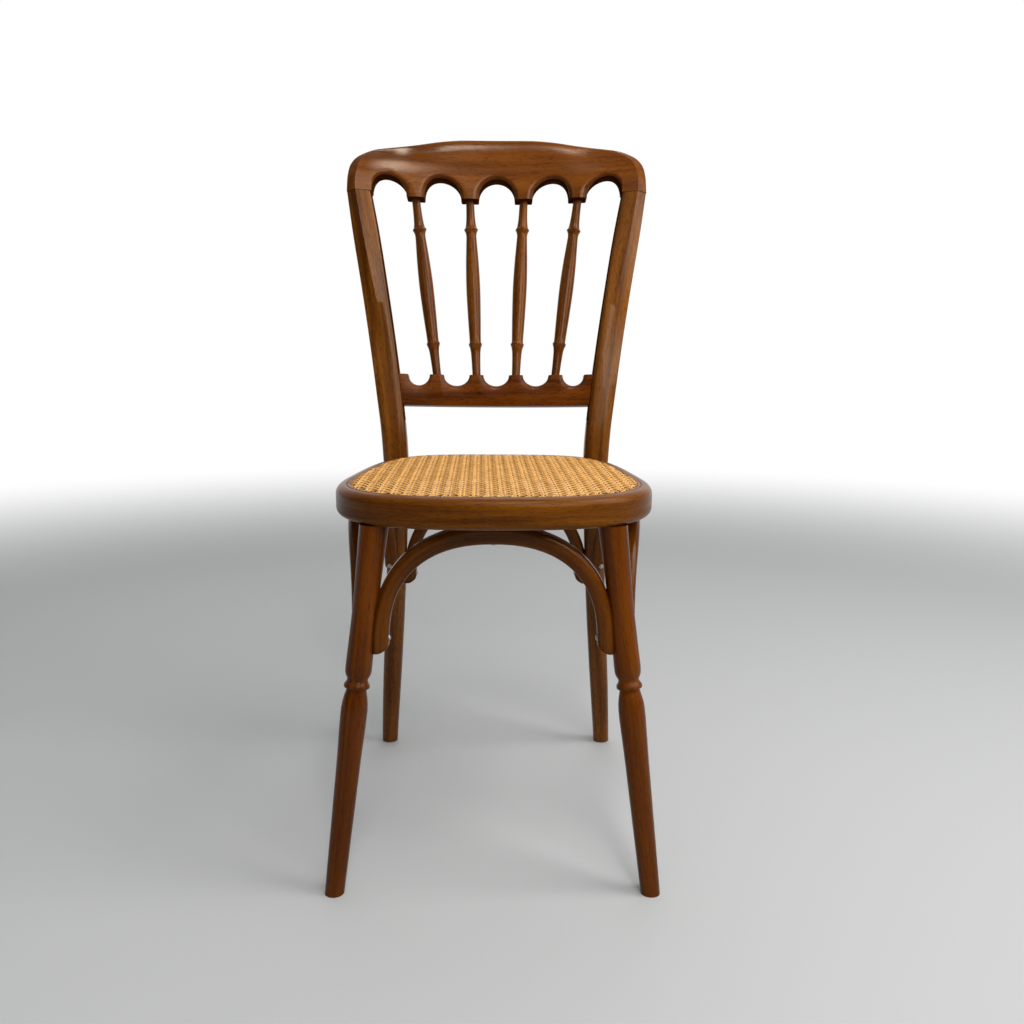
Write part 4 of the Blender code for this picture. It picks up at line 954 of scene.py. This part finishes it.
def crest_outline():
    """Outline of the crest: the ogee top, the arches and the pendants."""
    right = []
    for number in range(CREST_TOP_POINTS + 1):
        x = CREST_HALF * (1 - (1 - number / CREST_TOP_POINTS) ** 2.0)
        right.append((x, crest_top(x)))
    outline = [(-x, height) for x, height in reversed(right)] + right[1:]
    outline.append((ARCHES[0][0] + ARCHES[0][1], CREST_FOOT))
    for number, (centre, half) in enumerate(ARCHES):
        points = arc(centre, ARCH_SPRING, half, ARCH_RISE, 0.0, math.pi, arch_skew(centre))
        if number == 0:
            points = [point for point in points[1:] if point[1] > CREST_FOOT or point[0] < centre]
        if number == 4:
            points = [point for point in points[:-1] if point[1] > CREST_FOOT or point[0] > centre]
        outline.extend(points)
        if number < 4:
            outline.extend(((centre - half, PENDANT_FOOT), (centre - half - PENDANT, PENDANT_FOOT)))
    outline.append((ARCHES[4][0] - ARCHES[4][1], CREST_FOOT))
    return outline


def scoop_arches(shape, front):
    """Widen the eased edge of the arches towards the pendants and let it run out at the posts."""
    for vert in shape.verts:
        depth = vert.co.z - front
        centre, half = min(ARCHES, key=lambda arch: abs(vert.co.x - arch[0]) / arch[1])
        up = max(0.0, vert.co.y - ARCH_SPRING) / ARCH_RISE
        lean = arch_skew(centre) * min(1.0, up) ** 2
        across = (vert.co.x - centre) / half - lean
        spread = math.hypot(across, up)
        if spread < 0.5 or depth > ARCH_SCOOP * 1.01:
            continue
        wall = Vector((centre + half * (across / spread + lean), ARCH_SPRING + ARCH_RISE * up / spread))
        if vert.co.y < ARCH_SPRING:
            wall = Vector((centre + math.copysign(half, across), vert.co.y))
        away = vert.co.xy - wall
        if away.length > ARCH_SCOOP * 1.25 or spread < 0.98:
            continue
        low = 1 - smooth_step(up / spread, 0.0, 0.85)
        outward = across * centre > 0 or centre == 0
        wide = 1.15 + 0.30 * low
        deep = 1.0
        if abs(centre) > SPINDLE_TOP_PITCH * 1.5:
            if across * centre > 0:
                wide = deep = 1 - 0.85 * smooth_step(1 - up / spread, 0.15, 0.95)
            else:
                wide = 1.2 + 0.75 * low
                deep = 1.25
        elif outward and centre:
            wide = 1.15 + 0.05 * low
        spot = wall + away * wide
        vert.co = (spot.x, spot.y, front + depth * deep)


def facet_shoulders(shape, front):
    """Run the posts' facets up round the shoulders, ever narrower and leaning up along the top edge."""
    full_width = POST_TABLE[-1][4] * POST_WIDTH
    full_depth = POST_TABLE[-1][5] * POST_DEPTH
    for side in (-1, 1):
        for x_share, lean, width_share in SHOULDER_FACETS:
            out = Vector((side * math.cos(math.radians(lean)), math.sin(math.radians(lean)), 0))
            edge = Vector((side * CREST_HALF * x_share, crest_top(CREST_HALF * x_share), front))
            width = full_width * width_share
            slice_off(shape, edge - out * width, out * full_depth * width_share + Vector((0, 0, -width)))


def cut_for_carving(shape, front):
    """Cut the pendants' corners, level rows on the face, and stations across the whole rail."""
    for centre, half in ARCHES:
        for edge in (centre - half, centre + half):
            if abs(edge) < POST_INNER - 1e-4:
                inward = math.copysign(PENDANT_CORNER, edge - centre)
                for share in (0.03, 0.15, 0.35, 0.62, 1.0):
                    cut_across(shape, shape.faces[:], (edge + inward * share, 0, 0), (1, 0, 0))
    for row in range(int((CREST_RISE + PENDANT_DROP) / CREST_ROW)):
        flat = [face for face in shape.faces if all(abs(vert.co.z - front) < 1e-6 for vert in face.verts)]
        cut_across(shape, flat, (0, PENDANT_FOOT + CREST_ROW * (row + 1), 0), (0, 1, 0))
    cut_stations(shape, CREST_SAG_REACH, CREST_STATIONS)


def mark_arches(shape):
    """Mark the arches' inner walls with the dull, dark coat of painted shade, and their scooped edges with a
    darker coat of pooled stain and painted shade.
    """
    for face in shape.faces:
        face.normal_update()
        middle = face.calc_center_median()
        forward = abs(face.normal.z)
        below_top = middle.y < crest_top(middle.x) - SHADED_COAT_FROM
        if forward < 0.92 and below_top and abs(middle.x) < POST_INNER + 1e-4:
            # Inner walls take the coat of painted shade, and scooped edges the coat of pooled stain and
            # painted shade.
            face.material_index = 1 if forward < 0.35 else 2


def carve_face(shape, front):
    """Round the pendants' corners, roll the top edge back and hollow the face between it and the arches."""
    for vert in shape.verts:
        x, y, z = vert.co
        inside = min(abs(abs(x - centre) - half) for centre, half in ARCHES)
        if abs(x) > POST_INNER - 1e-4:
            vert.co.y = max(y, CREST_FOOT)
        elif y < PENDANT_FOOT + PENDANT_CORNER and inside < PENDANT_CORNER:
            lift = PENDANT_CORNER - math.sqrt(PENDANT_CORNER ** 2 - (PENDANT_CORNER - inside) ** 2)
            vert.co.y = max(y, PENDANT_FOOT + lift)
        nearness = 1 - smooth_step(z, front, -front)
        below = max(0.0, crest_top(x) - y)
        middle = 1 - smooth_step(abs(x), 0.45 * CREST_HALF, 0.80 * CREST_HALF)
        soft = middle * (CREST_SOFT * max(0.0, 1 - below / CREST_SOFT_DROP) ** 2 - CREST_PROUD)
        rise = smooth_step(y - ARCH_SPRING - ARCH_RISE, HOLLOW_LOW, HOLLOW_HIGH)
        ends = 1 - smooth_step(abs(x), 0.84 * CREST_HALF, 0.98 * CREST_HALF)
        sides = 0.35 + 0.65 * smooth_step(abs(x), 0.35 * CREST_HALF, 0.62 * CREST_HALF)
        vert.co.z += nearness * (soft + ends * sides * CREST_HOLLOW * rise)


def make_crest():
    """Saw, round over, facet, carve and bend the crest rail."""
    shape = board(crest_outline(), CREST_THICKNESS)
    front = -CREST_THICKNESS / 2
    arches = outline_edges(
        shape, front, lambda middle: PENDANT_FOOT + 1e-5 < middle.y < ARCH_SPRING + ARCH_RISE + 1e-4
        and abs(middle.x) < POST_INNER + 1e-5,
    )
    soften(shape, arches, ARCH_SCOOP, 7)
    scoop_arches(shape, front)
    top = outline_edges(
        shape, front,
        lambda middle: middle.y > max(crest_top(middle.x) - TOP_MARGIN, CREST_FOOT + CREST_TOP_FROM),
    )
    soften(shape, top, CREST_EDGE, 7)
    behind = outline_edges(shape, -front, lambda middle: abs(middle.y - CREST_FOOT) > 1e-5)
    soften(shape, behind, CREST_BACK_EDGE, 3)
    facet_shoulders(shape, front)
    cut_for_carving(shape, front)
    mark_arches(shape)
    carve_face(shape, front)
    return bend_to_back(shape, CREST_SAG, CREST_SAG_REACH, CREST_STOCK_SHIFT)


crest_beech = stained_beech(
    "crest_beech", (0.182, 0.051, 0.0034), (0.116, 0.030, 0.0018), 0.17, 84.0, flecking=0.7,
)
# The arches' scooped edges are darker, partly from stain that pools in the carving and partly as painted
# shade.
scoop_stain_and_shade_beech = stained_beech(
    "scoop_stain_and_shade_beech", (0.125, 0.036, 0.0030), (0.068, 0.017, 0.0012), 0.32, 84.0, sheen=0.14,
)
coats = [crest_beech, shaded_inner_beech, scoop_stain_and_shade_beech]
finished("crest_rail_carved", make_crest(), coats, ("crest_rail",), 33.0)


# Lower rail: a narrow board between the posts with a straight underside and five scallops. The spindles stand
# on the teeth between them, and the scallops' front edges are eased with a gouge.

RAIL_BOTTOM = 0.0748
RAIL_HEIGHT = 0.0448
RAIL_TOP = RAIL_BOTTOM + RAIL_HEIGHT
RAIL_THICKNESS = 0.022
RAIL_SAG = 0.011
SPINDLE_FOOT_PITCH = 0.3094 * RING_HALF_WIDTH
TOOTH = 0.36 * SPINDLE_FOOT_PITCH
RAIL_REACH = post_centre(SEAT_HEIGHT + RAIL_BOTTOM * math.cos(RAKE)).x
RAIL_STATIONS = 22
SCALLOP_HALF = (SPINDLE_FOOT_PITCH - TOOTH) / 2
SCALLOP_DROP = SCALLOP_HALF * 0.84
SCALLOP_SCOOP = 0.0060
SCALLOPS_END = 2.5 * SPINDLE_FOOT_PITCH - SCALLOP_HALF * 0.9
SCALLOPS = five_bays(SPINDLE_FOOT_PITCH, TOOTH, SCALLOPS_END)
RAIL_END = RAIL_REACH - POST_WIDTH * 0.30
SCALLOP_MARGIN = 0.004
END_MARGIN = 0.001
RAIL_EDGE = 0.0016
RAIL_BACK_EDGE = 0.0010
RAIL_STOCK_SHIFT = 0.7


def scoop_scallops(shape, front):
    """Widen the eased edge at the bottom of each scallop."""
    for vert in shape.verts:
        if vert.co.z - front > SCALLOP_SCOOP * 1.01:
            continue
        for centre, half in SCALLOPS:
            across = (vert.co.x - centre) / half
            down = (RAIL_TOP - vert.co.y) / SCALLOP_DROP
            spread = math.hypot(across, down)
            shrink = 1 / max(spread, 0.1)
            wall = Vector((centre + half * across * shrink, RAIL_TOP - SCALLOP_DROP * down * shrink))
            away = vert.co.xy - wall
            if 0.98 < spread and away.length < SCALLOP_SCOOP * 1.25 and down > -0.05:
                wide = 1 + 0.40 * smooth_step(down / spread, 0.2, 0.9)
                vert.co.xy = wall + away * wide
                break


def make_lower_rail():
    """Saw, ease and bend the lower rail."""
    outline = [(-RAIL_END, RAIL_BOTTOM), (RAIL_END, RAIL_BOTTOM), (RAIL_END, RAIL_TOP)]
    for centre, half in SCALLOPS:
        outline.extend(arc(centre, RAIL_TOP, half, SCALLOP_DROP, math.tau, math.pi))
    outline.append((-RAIL_END, RAIL_TOP))
    shape = board(outline, RAIL_THICKNESS)
    front = -RAIL_THICKNESS / 2
    arcs = outline_edges(
        shape, front,
        lambda middle: RAIL_BOTTOM + SCALLOP_MARGIN < middle.y < RAIL_TOP - 1e-5
        and abs(middle.x) < SCALLOPS_END,
    )
    soften(shape, arcs, SCALLOP_SCOOP, 7)
    scoop_scallops(shape, front)
    soften(shape, outline_edges(shape, front, lambda middle: middle.y < RAIL_BOTTOM + 1e-5), RAIL_EDGE, 3)
    behind = outline_edges(shape, -front, lambda middle: abs(middle.x) < RAIL_END - END_MARGIN)
    soften(shape, behind, RAIL_BACK_EDGE, 2)
    cut_stations(shape, RAIL_REACH, RAIL_STATIONS)
    return bend_to_back(shape, RAIL_SAG, RAIL_REACH, RAIL_STOCK_SHIFT)


rail_beech = stained_beech(
    "rail_beech", (0.150, 0.037, 0.0012), (0.066, 0.014, 0.0005), 0.24, 80.0, sheen=0.16,
)
finished("lower_rail_scalloped", make_lower_rail(), [rail_beech], ("lower_rail",), 30.0)


# Spindles: four turned sticks with a swelling in the middle and a sharp collar near each end. Their necks are
# glued into the pendants above and the teeth below.

SPINDLE_DIAMETER = 0.0204
SPINDLE_PIN = 0.012
SPINDLE_SIDES = 40
PROFILE_STEPS = 60
# how far the upper collars of the outer and of the inner spindles are lowered, as shares of their height
OUTER_COLLAR_DROP = 0.016
INNER_COLLAR_DROP = 0.006
# height and diameter, each as a share
SPINDLE_SHAPE = (
    (0.000, 0.590), (0.070, 0.625), (0.137, 0.700), (0.160, 0.800), (0.172, 0.925), (0.1775, 0.960),
    (0.1815, 0.950), (0.1855, 0.880), (0.192, 0.820), (0.215, 0.826), (0.342, 0.935), (0.500, 1.010),
    (0.640, 0.935), (0.760, 0.790), (0.806, 0.735), (0.822, 0.775), (0.834, 0.900), (0.8405, 1.000),
    (0.8440, 0.995), (0.847, 0.890), (0.852, 0.840), (0.866, 0.755), (0.890, 0.680), (0.930, 0.620),
    (1.000, 0.585),
)


def fine_profile(table, diameter, length, spare):
    """Sample a table of (height, diameter) shares finely, with its own rows, and run on past both ends."""
    profile = []
    for low, high in zip(table, table[1:]):
        count = max(1, round((high[0] - low[0]) * PROFILE_STEPS))
        for number in range(count):
            share = low[0] + (high[0] - low[0]) * number / count
            profile.append((diameter / 2 * smooth_table(table, share, 1), length * share))
    profile.append((diameter / 2 * table[-1][1], length * table[-1][0]))
    below = [(0.0, -spare), (profile[0][0], -spare)]
    above = [(profile[-1][0], length + spare), (0.0, length + spare)]
    return below + profile + above


def stand(shape, foot, head, stock_shift):
    """Stand a turned piece on its foot with its axis towards its head."""
    matrix = Matrix.Translation(foot) @ (head - foot).to_track_quat("Z", "Y").to_matrix().to_4x4()
    return carry(shape, lambda point: (matrix @ point, point + stock_shift))


spindle_beech = stained_beech(
    "spindle_beech", (0.170, 0.048, 0.0016), (0.084, 0.020, 0.0008), 0.18, 90.0, sheen=0.20,
)
for index, number in enumerate((-1.5, -0.5, 0.5, 1.5)):
    foot_x = number * SPINDLE_FOOT_PITCH
    head_x = number * SPINDLE_TOP_PITCH
    foot = on_back(foot_x, RAIL_TOP, sag_at(foot_x, RAIL_SAG, RAIL_REACH))
    head = on_back(head_x, PENDANT_FOOT, sag_at(head_x, CREST_SAG, CREST_SAG_REACH))
    length = (head - foot).length
    drop = OUTER_COLLAR_DROP if abs(number) > 1 else INNER_COLLAR_DROP
    table = []
    for share, size in SPINDLE_SHAPE:
        lowered = drop * smooth_step(share, 0.5, 0.8) * (1 - smooth_step(share, 0.86, 1.0))
        table.append((share - lowered, size))
    shape = turned(fine_profile(table, SPINDLE_DIAMETER, length, SPINDLE_PIN), SPINDLE_SIDES)
    stand(shape, foot, head, Vector((0.05 * index, 0.02, 0.4 * index)))
    word = str(index + 1)
    finished("spindle_turned_" + word, shape, [spindle_beech], ("spindle_" + word,), 50.0)


# Front legs: turned beech, fullest under the ring, with a ring turned between two coves at half height and a
# long taper to the floor. Their tenons are glued into the ring.

LEG_TOP = Vector((0.7223 * RING_HALF_WIDTH, WIDEST_Y - 0.7313 * RING_FRONT_REACH, RING_UNDERSIDE))
LEG_FOOT = Vector((0.9730 * RING_HALF_WIDTH, WIDEST_Y - 1.0394 * RING_FRONT_REACH, 0.0))
LEG_DIAMETER = 0.0333
LEG_SIDES = 48
# height and diameter, each as a share
LEG_SHAPE = (
    (0.000, 0.660), (0.090, 0.706), (0.181, 0.743), (0.280, 0.786), (0.372, 0.829), (0.443, 0.885),
    (0.480, 0.908), (0.504, 0.908), (0.520, 0.872), (0.533, 0.817), (0.545, 0.745), (0.5530, 0.698),
    (0.5575, 0.688), (0.5592, 0.700), (0.5600, 0.845), (0.5612, 0.870), (0.5640, 0.882), (0.5675, 0.882),
    (0.5698, 0.866), (0.5735, 0.800), (0.5775, 0.736), (0.5815, 0.706), (0.5860, 0.722), (0.5910, 0.790),
    (0.5970, 0.862), (0.6060, 0.900), (0.6200, 0.908), (0.650, 0.892), (0.690, 0.874), (0.779, 0.859),
    (0.880, 0.915), (1.000, 1.000),
)
leg_beech = stained_beech(
    "leg_beech", (0.138, 0.034, 0.0006), (0.072, 0.016, 0.0003), 0.23, 70.0, flecking=0.6, sheen=0.16,
)


def leg_place(z):
    """Centre of the right front leg at a height."""
    return LEG_FOOT.lerp(LEG_TOP, z / RING_UNDERSIDE)


def leg_radius(z):
    """Radius of a front leg at a height."""
    return LEG_DIAMETER / 2 * smooth_table(LEG_SHAPE, z / RING_UNDERSIDE, 1)


for word, side in (("left", -1), ("right", 1)):
    foot = LEG_FOOT * Vector((side, 1, 1))
    top = LEG_TOP * Vector((side, 1, 1))
    # Turned too long, then cut level with the floor and just under the ring.
    shape = turned(fine_profile(LEG_SHAPE, LEG_DIAMETER, (top - foot).length, LEG_DIAMETER), LEG_SIDES)
    stand(shape, foot, top, Vector((side * 0.1, 0.3, side * 0.2)))
    slice_off(shape, (0, 0, 0), (0, 0, -1))
    slice_off(shape, (0, 0, RING_UNDERSIDE - FIT_GAP), (0, 0, 1))
    finished("front_leg_turned_" + word, shape, [leg_beech], ("front_leg_" + word,), 50.0)


# Bent arches: sticks of beech with a rounded square section, steam bent and screwed at their ends to the
# legs and posts. The side arches' crowns touch the ring. Their ends are sawn square, with a rounded corner.

FRONT_ARCH_THICK = 0.0195
BACK_ARCH_THICK = 0.0180
SIDE_ARCH_THICK = 0.0195
FRONT_ARCH_FALL = 0.1275
BACK_ARCH_FALL = 0.1395
SIDE_ARCH_FALL = 0.1120
FRONT_CROWN_SWELL = 1.20
FRONT_ARCH_POWERS = (2.25, 2.6)
BACK_ARCH_POWERS = (1.9, 2.6 * 0.9)
SIDE_ARCH_POWERS = (1.9, 2.6)
FRONT_ARCH_TAIL = 0.007
ARCH_TAIL = 0.006
TAIL_FROM = 0.97
SIDE_ARCH_OUT = 0.0052
SIDE_ARCH_BOW = 0.121 * RING_HALF_WIDTH
ARCH_SECTION_POWER = 3.0
ARCH_SIDES = 28
ARCH_STATIONS = 96
ARCH_OVERLAP = 0.0022
PATH_STEPS = 400
TANGENT_STEP = 0.004
END_ROUND = 0.0045
END_CORNER = 0.0155
END_SIZE = 0.80
arch_beech = stained_beech(
    "arch_beech", (0.135, 0.038, 0.0008), (0.070, 0.017, 0.0004), 0.22, 85.0, flecking=0.6, sheen=0.17,
)


def arch_point(t, power_across, power_up):
    """Place along an arch, from -1 to 1, as (across, drop) shares, evenly spread along its length."""
    angle = math.pi / 2 * abs(t)
    across = math.sin(angle) ** (2 / power_across)
    up = max(0.0, math.cos(angle)) ** (2 / power_up)
    return math.copysign(across, t), 1 - up


def bend_rod(path, half, swell, side_way, stock_shift):
    """Bend a straight rod along a path, with a rounded square section that swells by a rule.

    The ends are sawn square and rounded off towards the inside of the bend.
    """
    shape = straight_rod(ARCH_SIDES, ARCH_STATIONS)
    for spot in sorted({round(vert.co.x, 5) for vert in shape.verts})[1:-1]:
        ends = [face for face in shape.faces if all(abs(abs(vert.co.z) - 0.5) < 1e-6 for vert in face.verts)]
        cut_across(shape, ends, (spot, 0, 0), (1, 0, 0))
    places = [path(-1 + 2 * number / PATH_STEPS) for number in range(PATH_STEPS + 1)]
    lengths = [0.0]
    for first, second in zip(places, places[1:]):
        lengths.append(lengths[-1] + (second - first).length)
    total = lengths[-1]

    def at(share):
        target = min(total, max(0.0, share * total))
        index = min(PATH_STEPS - 1, bisect.bisect_right(lengths, target) - 1)
        part = (target - lengths[index]) / max(1e-9, lengths[index + 1] - lengths[index])
        return places[index].lerp(places[index + 1], part)

    inner = 1 if (at(0.5 + TANGENT_STEP) - at(0.5 - TANGENT_STEP)).cross(side_way).z < 0 else -1

    def rule(point):
        share = point.z + 0.5
        reach = inner * point.x / max(1e-6, math.hypot(point.x, point.y)) * half + END_CORNER - half
        cut_back = END_CORNER - math.sqrt(END_CORNER ** 2 - min(END_CORNER, max(0.0, reach)) ** 2)
        share = min(1 - cut_back / total, max(cut_back / total, share))
        tangent = (at(share + TANGENT_STEP) - at(share - TANGENT_STEP)).normalized()
        deep = (side_way - tangent * side_way.dot(tangent)).normalized()
        high = tangent.cross(deep)
        angle = math.atan2(point.y, point.x)
        spoke = abs(math.cos(angle)) ** ARCH_SECTION_POWER + abs(math.sin(angle)) ** ARCH_SECTION_POWER
        spoke **= -1 / ARCH_SECTION_POWER
        from_end = min(share, 1 - share) * total - cut_back
        ease = math.sqrt(max(0.0, 1 - (1 - min(1.0, max(0.0, from_end) / END_ROUND)) ** 2))
        ease = END_SIZE + (1 - END_SIZE) * ease
        up = spoke * math.cos(angle) * half * swell(2 * share - 1)
        out = spoke * math.sin(angle) * half * ease
        return at(share) + high * up + deep * out, Vector((up, out, share * total)) + stock_shift

    return carry(shape, rule)


def tail_drop(t, most):
    """How much lower an arch's last stretch runs, beyond its screw."""
    return max(0.0, abs(t) - TAIL_FROM) / (1 - TAIL_FROM) * most


def post_half(z, column, size):
    """Half the width (column 1) or the depth (column 2) of a rear post at a height."""
    return smooth_table(POST_TABLE, z / POST_TOP_Z, column) * size / 2


def cross_arch_path(t, powers, radius, swell, fall, tail, holder, holder_half):
    """Centre line of an arch between a pair of legs or posts, in the plane that they slant in."""
    across, drop = arch_point(t, *powers)
    crown = RING_UNDERSIDE - radius * swell + FIT_GAP
    z = crown - fall * drop
    end_z = crown - fall
    end_x = holder(end_z).x - holder_half(end_z) - radius + ARCH_OVERLAP
    return Vector((end_x * across, holder(z).y, z - tail_drop(t, tail)))


def front_arch_path(t):
    """Centre line of the front arch, between the front legs."""
    return cross_arch_path(
        t, FRONT_ARCH_POWERS, FRONT_ARCH_THICK / 2, FRONT_CROWN_SWELL, FRONT_ARCH_FALL, FRONT_ARCH_TAIL,
        leg_place, leg_radius,
    )


def back_arch_path(t):
    """Centre line of the back arch, between the rear posts."""
    return cross_arch_path(
        t, BACK_ARCH_POWERS, BACK_ARCH_THICK / 2, 1.0, BACK_ARCH_FALL, ARCH_TAIL, post_centre,
        lambda z: post_half(z, 1, POST_WIDTH),
    )


def side_arch_path(t, side=1):
    """Centre line of a side arch, from the front leg to the rear post, bowed out under the rim."""
    along, drop = arch_point(t, *SIDE_ARCH_POWERS)
    radius = SIDE_ARCH_THICK / 2
    crown = RING_UNDERSIDE - radius + FIT_GAP
    z = crown - SIDE_ARCH_FALL * drop
    end_z = crown - SIDE_ARCH_FALL
    reach = leg_radius(end_z) + radius - ARCH_OVERLAP
    front = leg_place(end_z) + Vector((SIDE_ARCH_OUT, math.sqrt(reach ** 2 - SIDE_ARCH_OUT ** 2), 0))
    reach = post_half(end_z, 2, POST_DEPTH) + radius - ARCH_OVERLAP
    rear = post_centre(end_z) + Vector((SIDE_ARCH_OUT, -math.sqrt(reach ** 2 - SIDE_ARCH_OUT ** 2), 0))
    place = (front + rear) / 2 + (rear - front) / 2 * along
    lean = leg_place(z).y - leg_place(end_z).y if along < 0 else post_centre(z).y - post_centre(end_z).y
    bow = SIDE_ARCH_BOW * (1 - abs(along) ** 1.5)
    return Vector((
        side * (place.x + bow), place.y + lean * abs(along) ** 4, z - tail_drop(t, ARCH_TAIL),
    ))


def crown_swell(most):
    """Rule for a rod that is fuller at its crown."""
    return lambda t: 1 + (most - 1) * (1 - smooth_step(abs(t), 0.0, 0.8))


for arch_name, path, thick, most, way, shift in (
    ("front_arch", front_arch_path, FRONT_ARCH_THICK, FRONT_CROWN_SWELL, (0, 1, 0.12), 1.0),
    ("back_arch", back_arch_path, BACK_ARCH_THICK, 1.0, (0, 1, 0), 1.4),
    ("side_arch_right", side_arch_path, SIDE_ARCH_THICK, 1.0, (1, 0, 0), 1.8),
    ("side_arch_left", lambda t: side_arch_path(t, -1), SIDE_ARCH_THICK, 1.0, (1, 0, 0), 2.2),
):
    shape = bend_rod(path, thick / 2, crown_swell(most), Vector(way).normalized(), Vector((shift, 0, 0)))
    slice_off(shape, (0, 0, RING_UNDERSIDE - FIT_GAP), (0, 0, 1))
    finished(arch_name + "_bent", shape, [arch_beech], (arch_name,), 40.0)


# Screws, bolts and dowels: they keep their solids and only get a better finish. The screws and bolts are
# zinc plated steel with fine scratches, and the dowels are bare beech.


def speckled(name, scale, detail, low, low_colour, high, high_colour):
    """Material whose colour wanders between two, returned with its tree, its shader and its noise."""
    material, tree, shader = new_material(name)
    places = put(tree, "TexCoord")
    specks = noise(tree, places.outputs["Object"], scale, detail)
    feed(tree, shader, {"Base Color": ramp(tree, specks, low, low_colour, high, high_colour)})
    return material, tree, shader, specks


zinc, tree, shader, scratches = speckled(
    "zinc_plate", 900.0, 4.0, 0.35, (0.17, 0.16, 0.15), 0.62, (0.46, 0.45, 0.42),
)
feed(tree, shader, {"Roughness": remap(tree, scratches, 0.3, 0.7, 0.42, 0.24), "Metallic": 1.0})
bare, tree, shader, fibres = speckled(
    "bare_dowel", 500.0, 3.0, 0.0, (0.42, 0.27, 0.15), 1.0, (0.62, 0.44, 0.26),
)
feed(tree, shader, {"Roughness": 0.65})

for name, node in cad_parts.items():
    if "screw" in name or "bolt" in name or "dowel" in name:
        node.data.materials.clear()
        node.data.materials.append(bare if "dowel" in name else zinc)
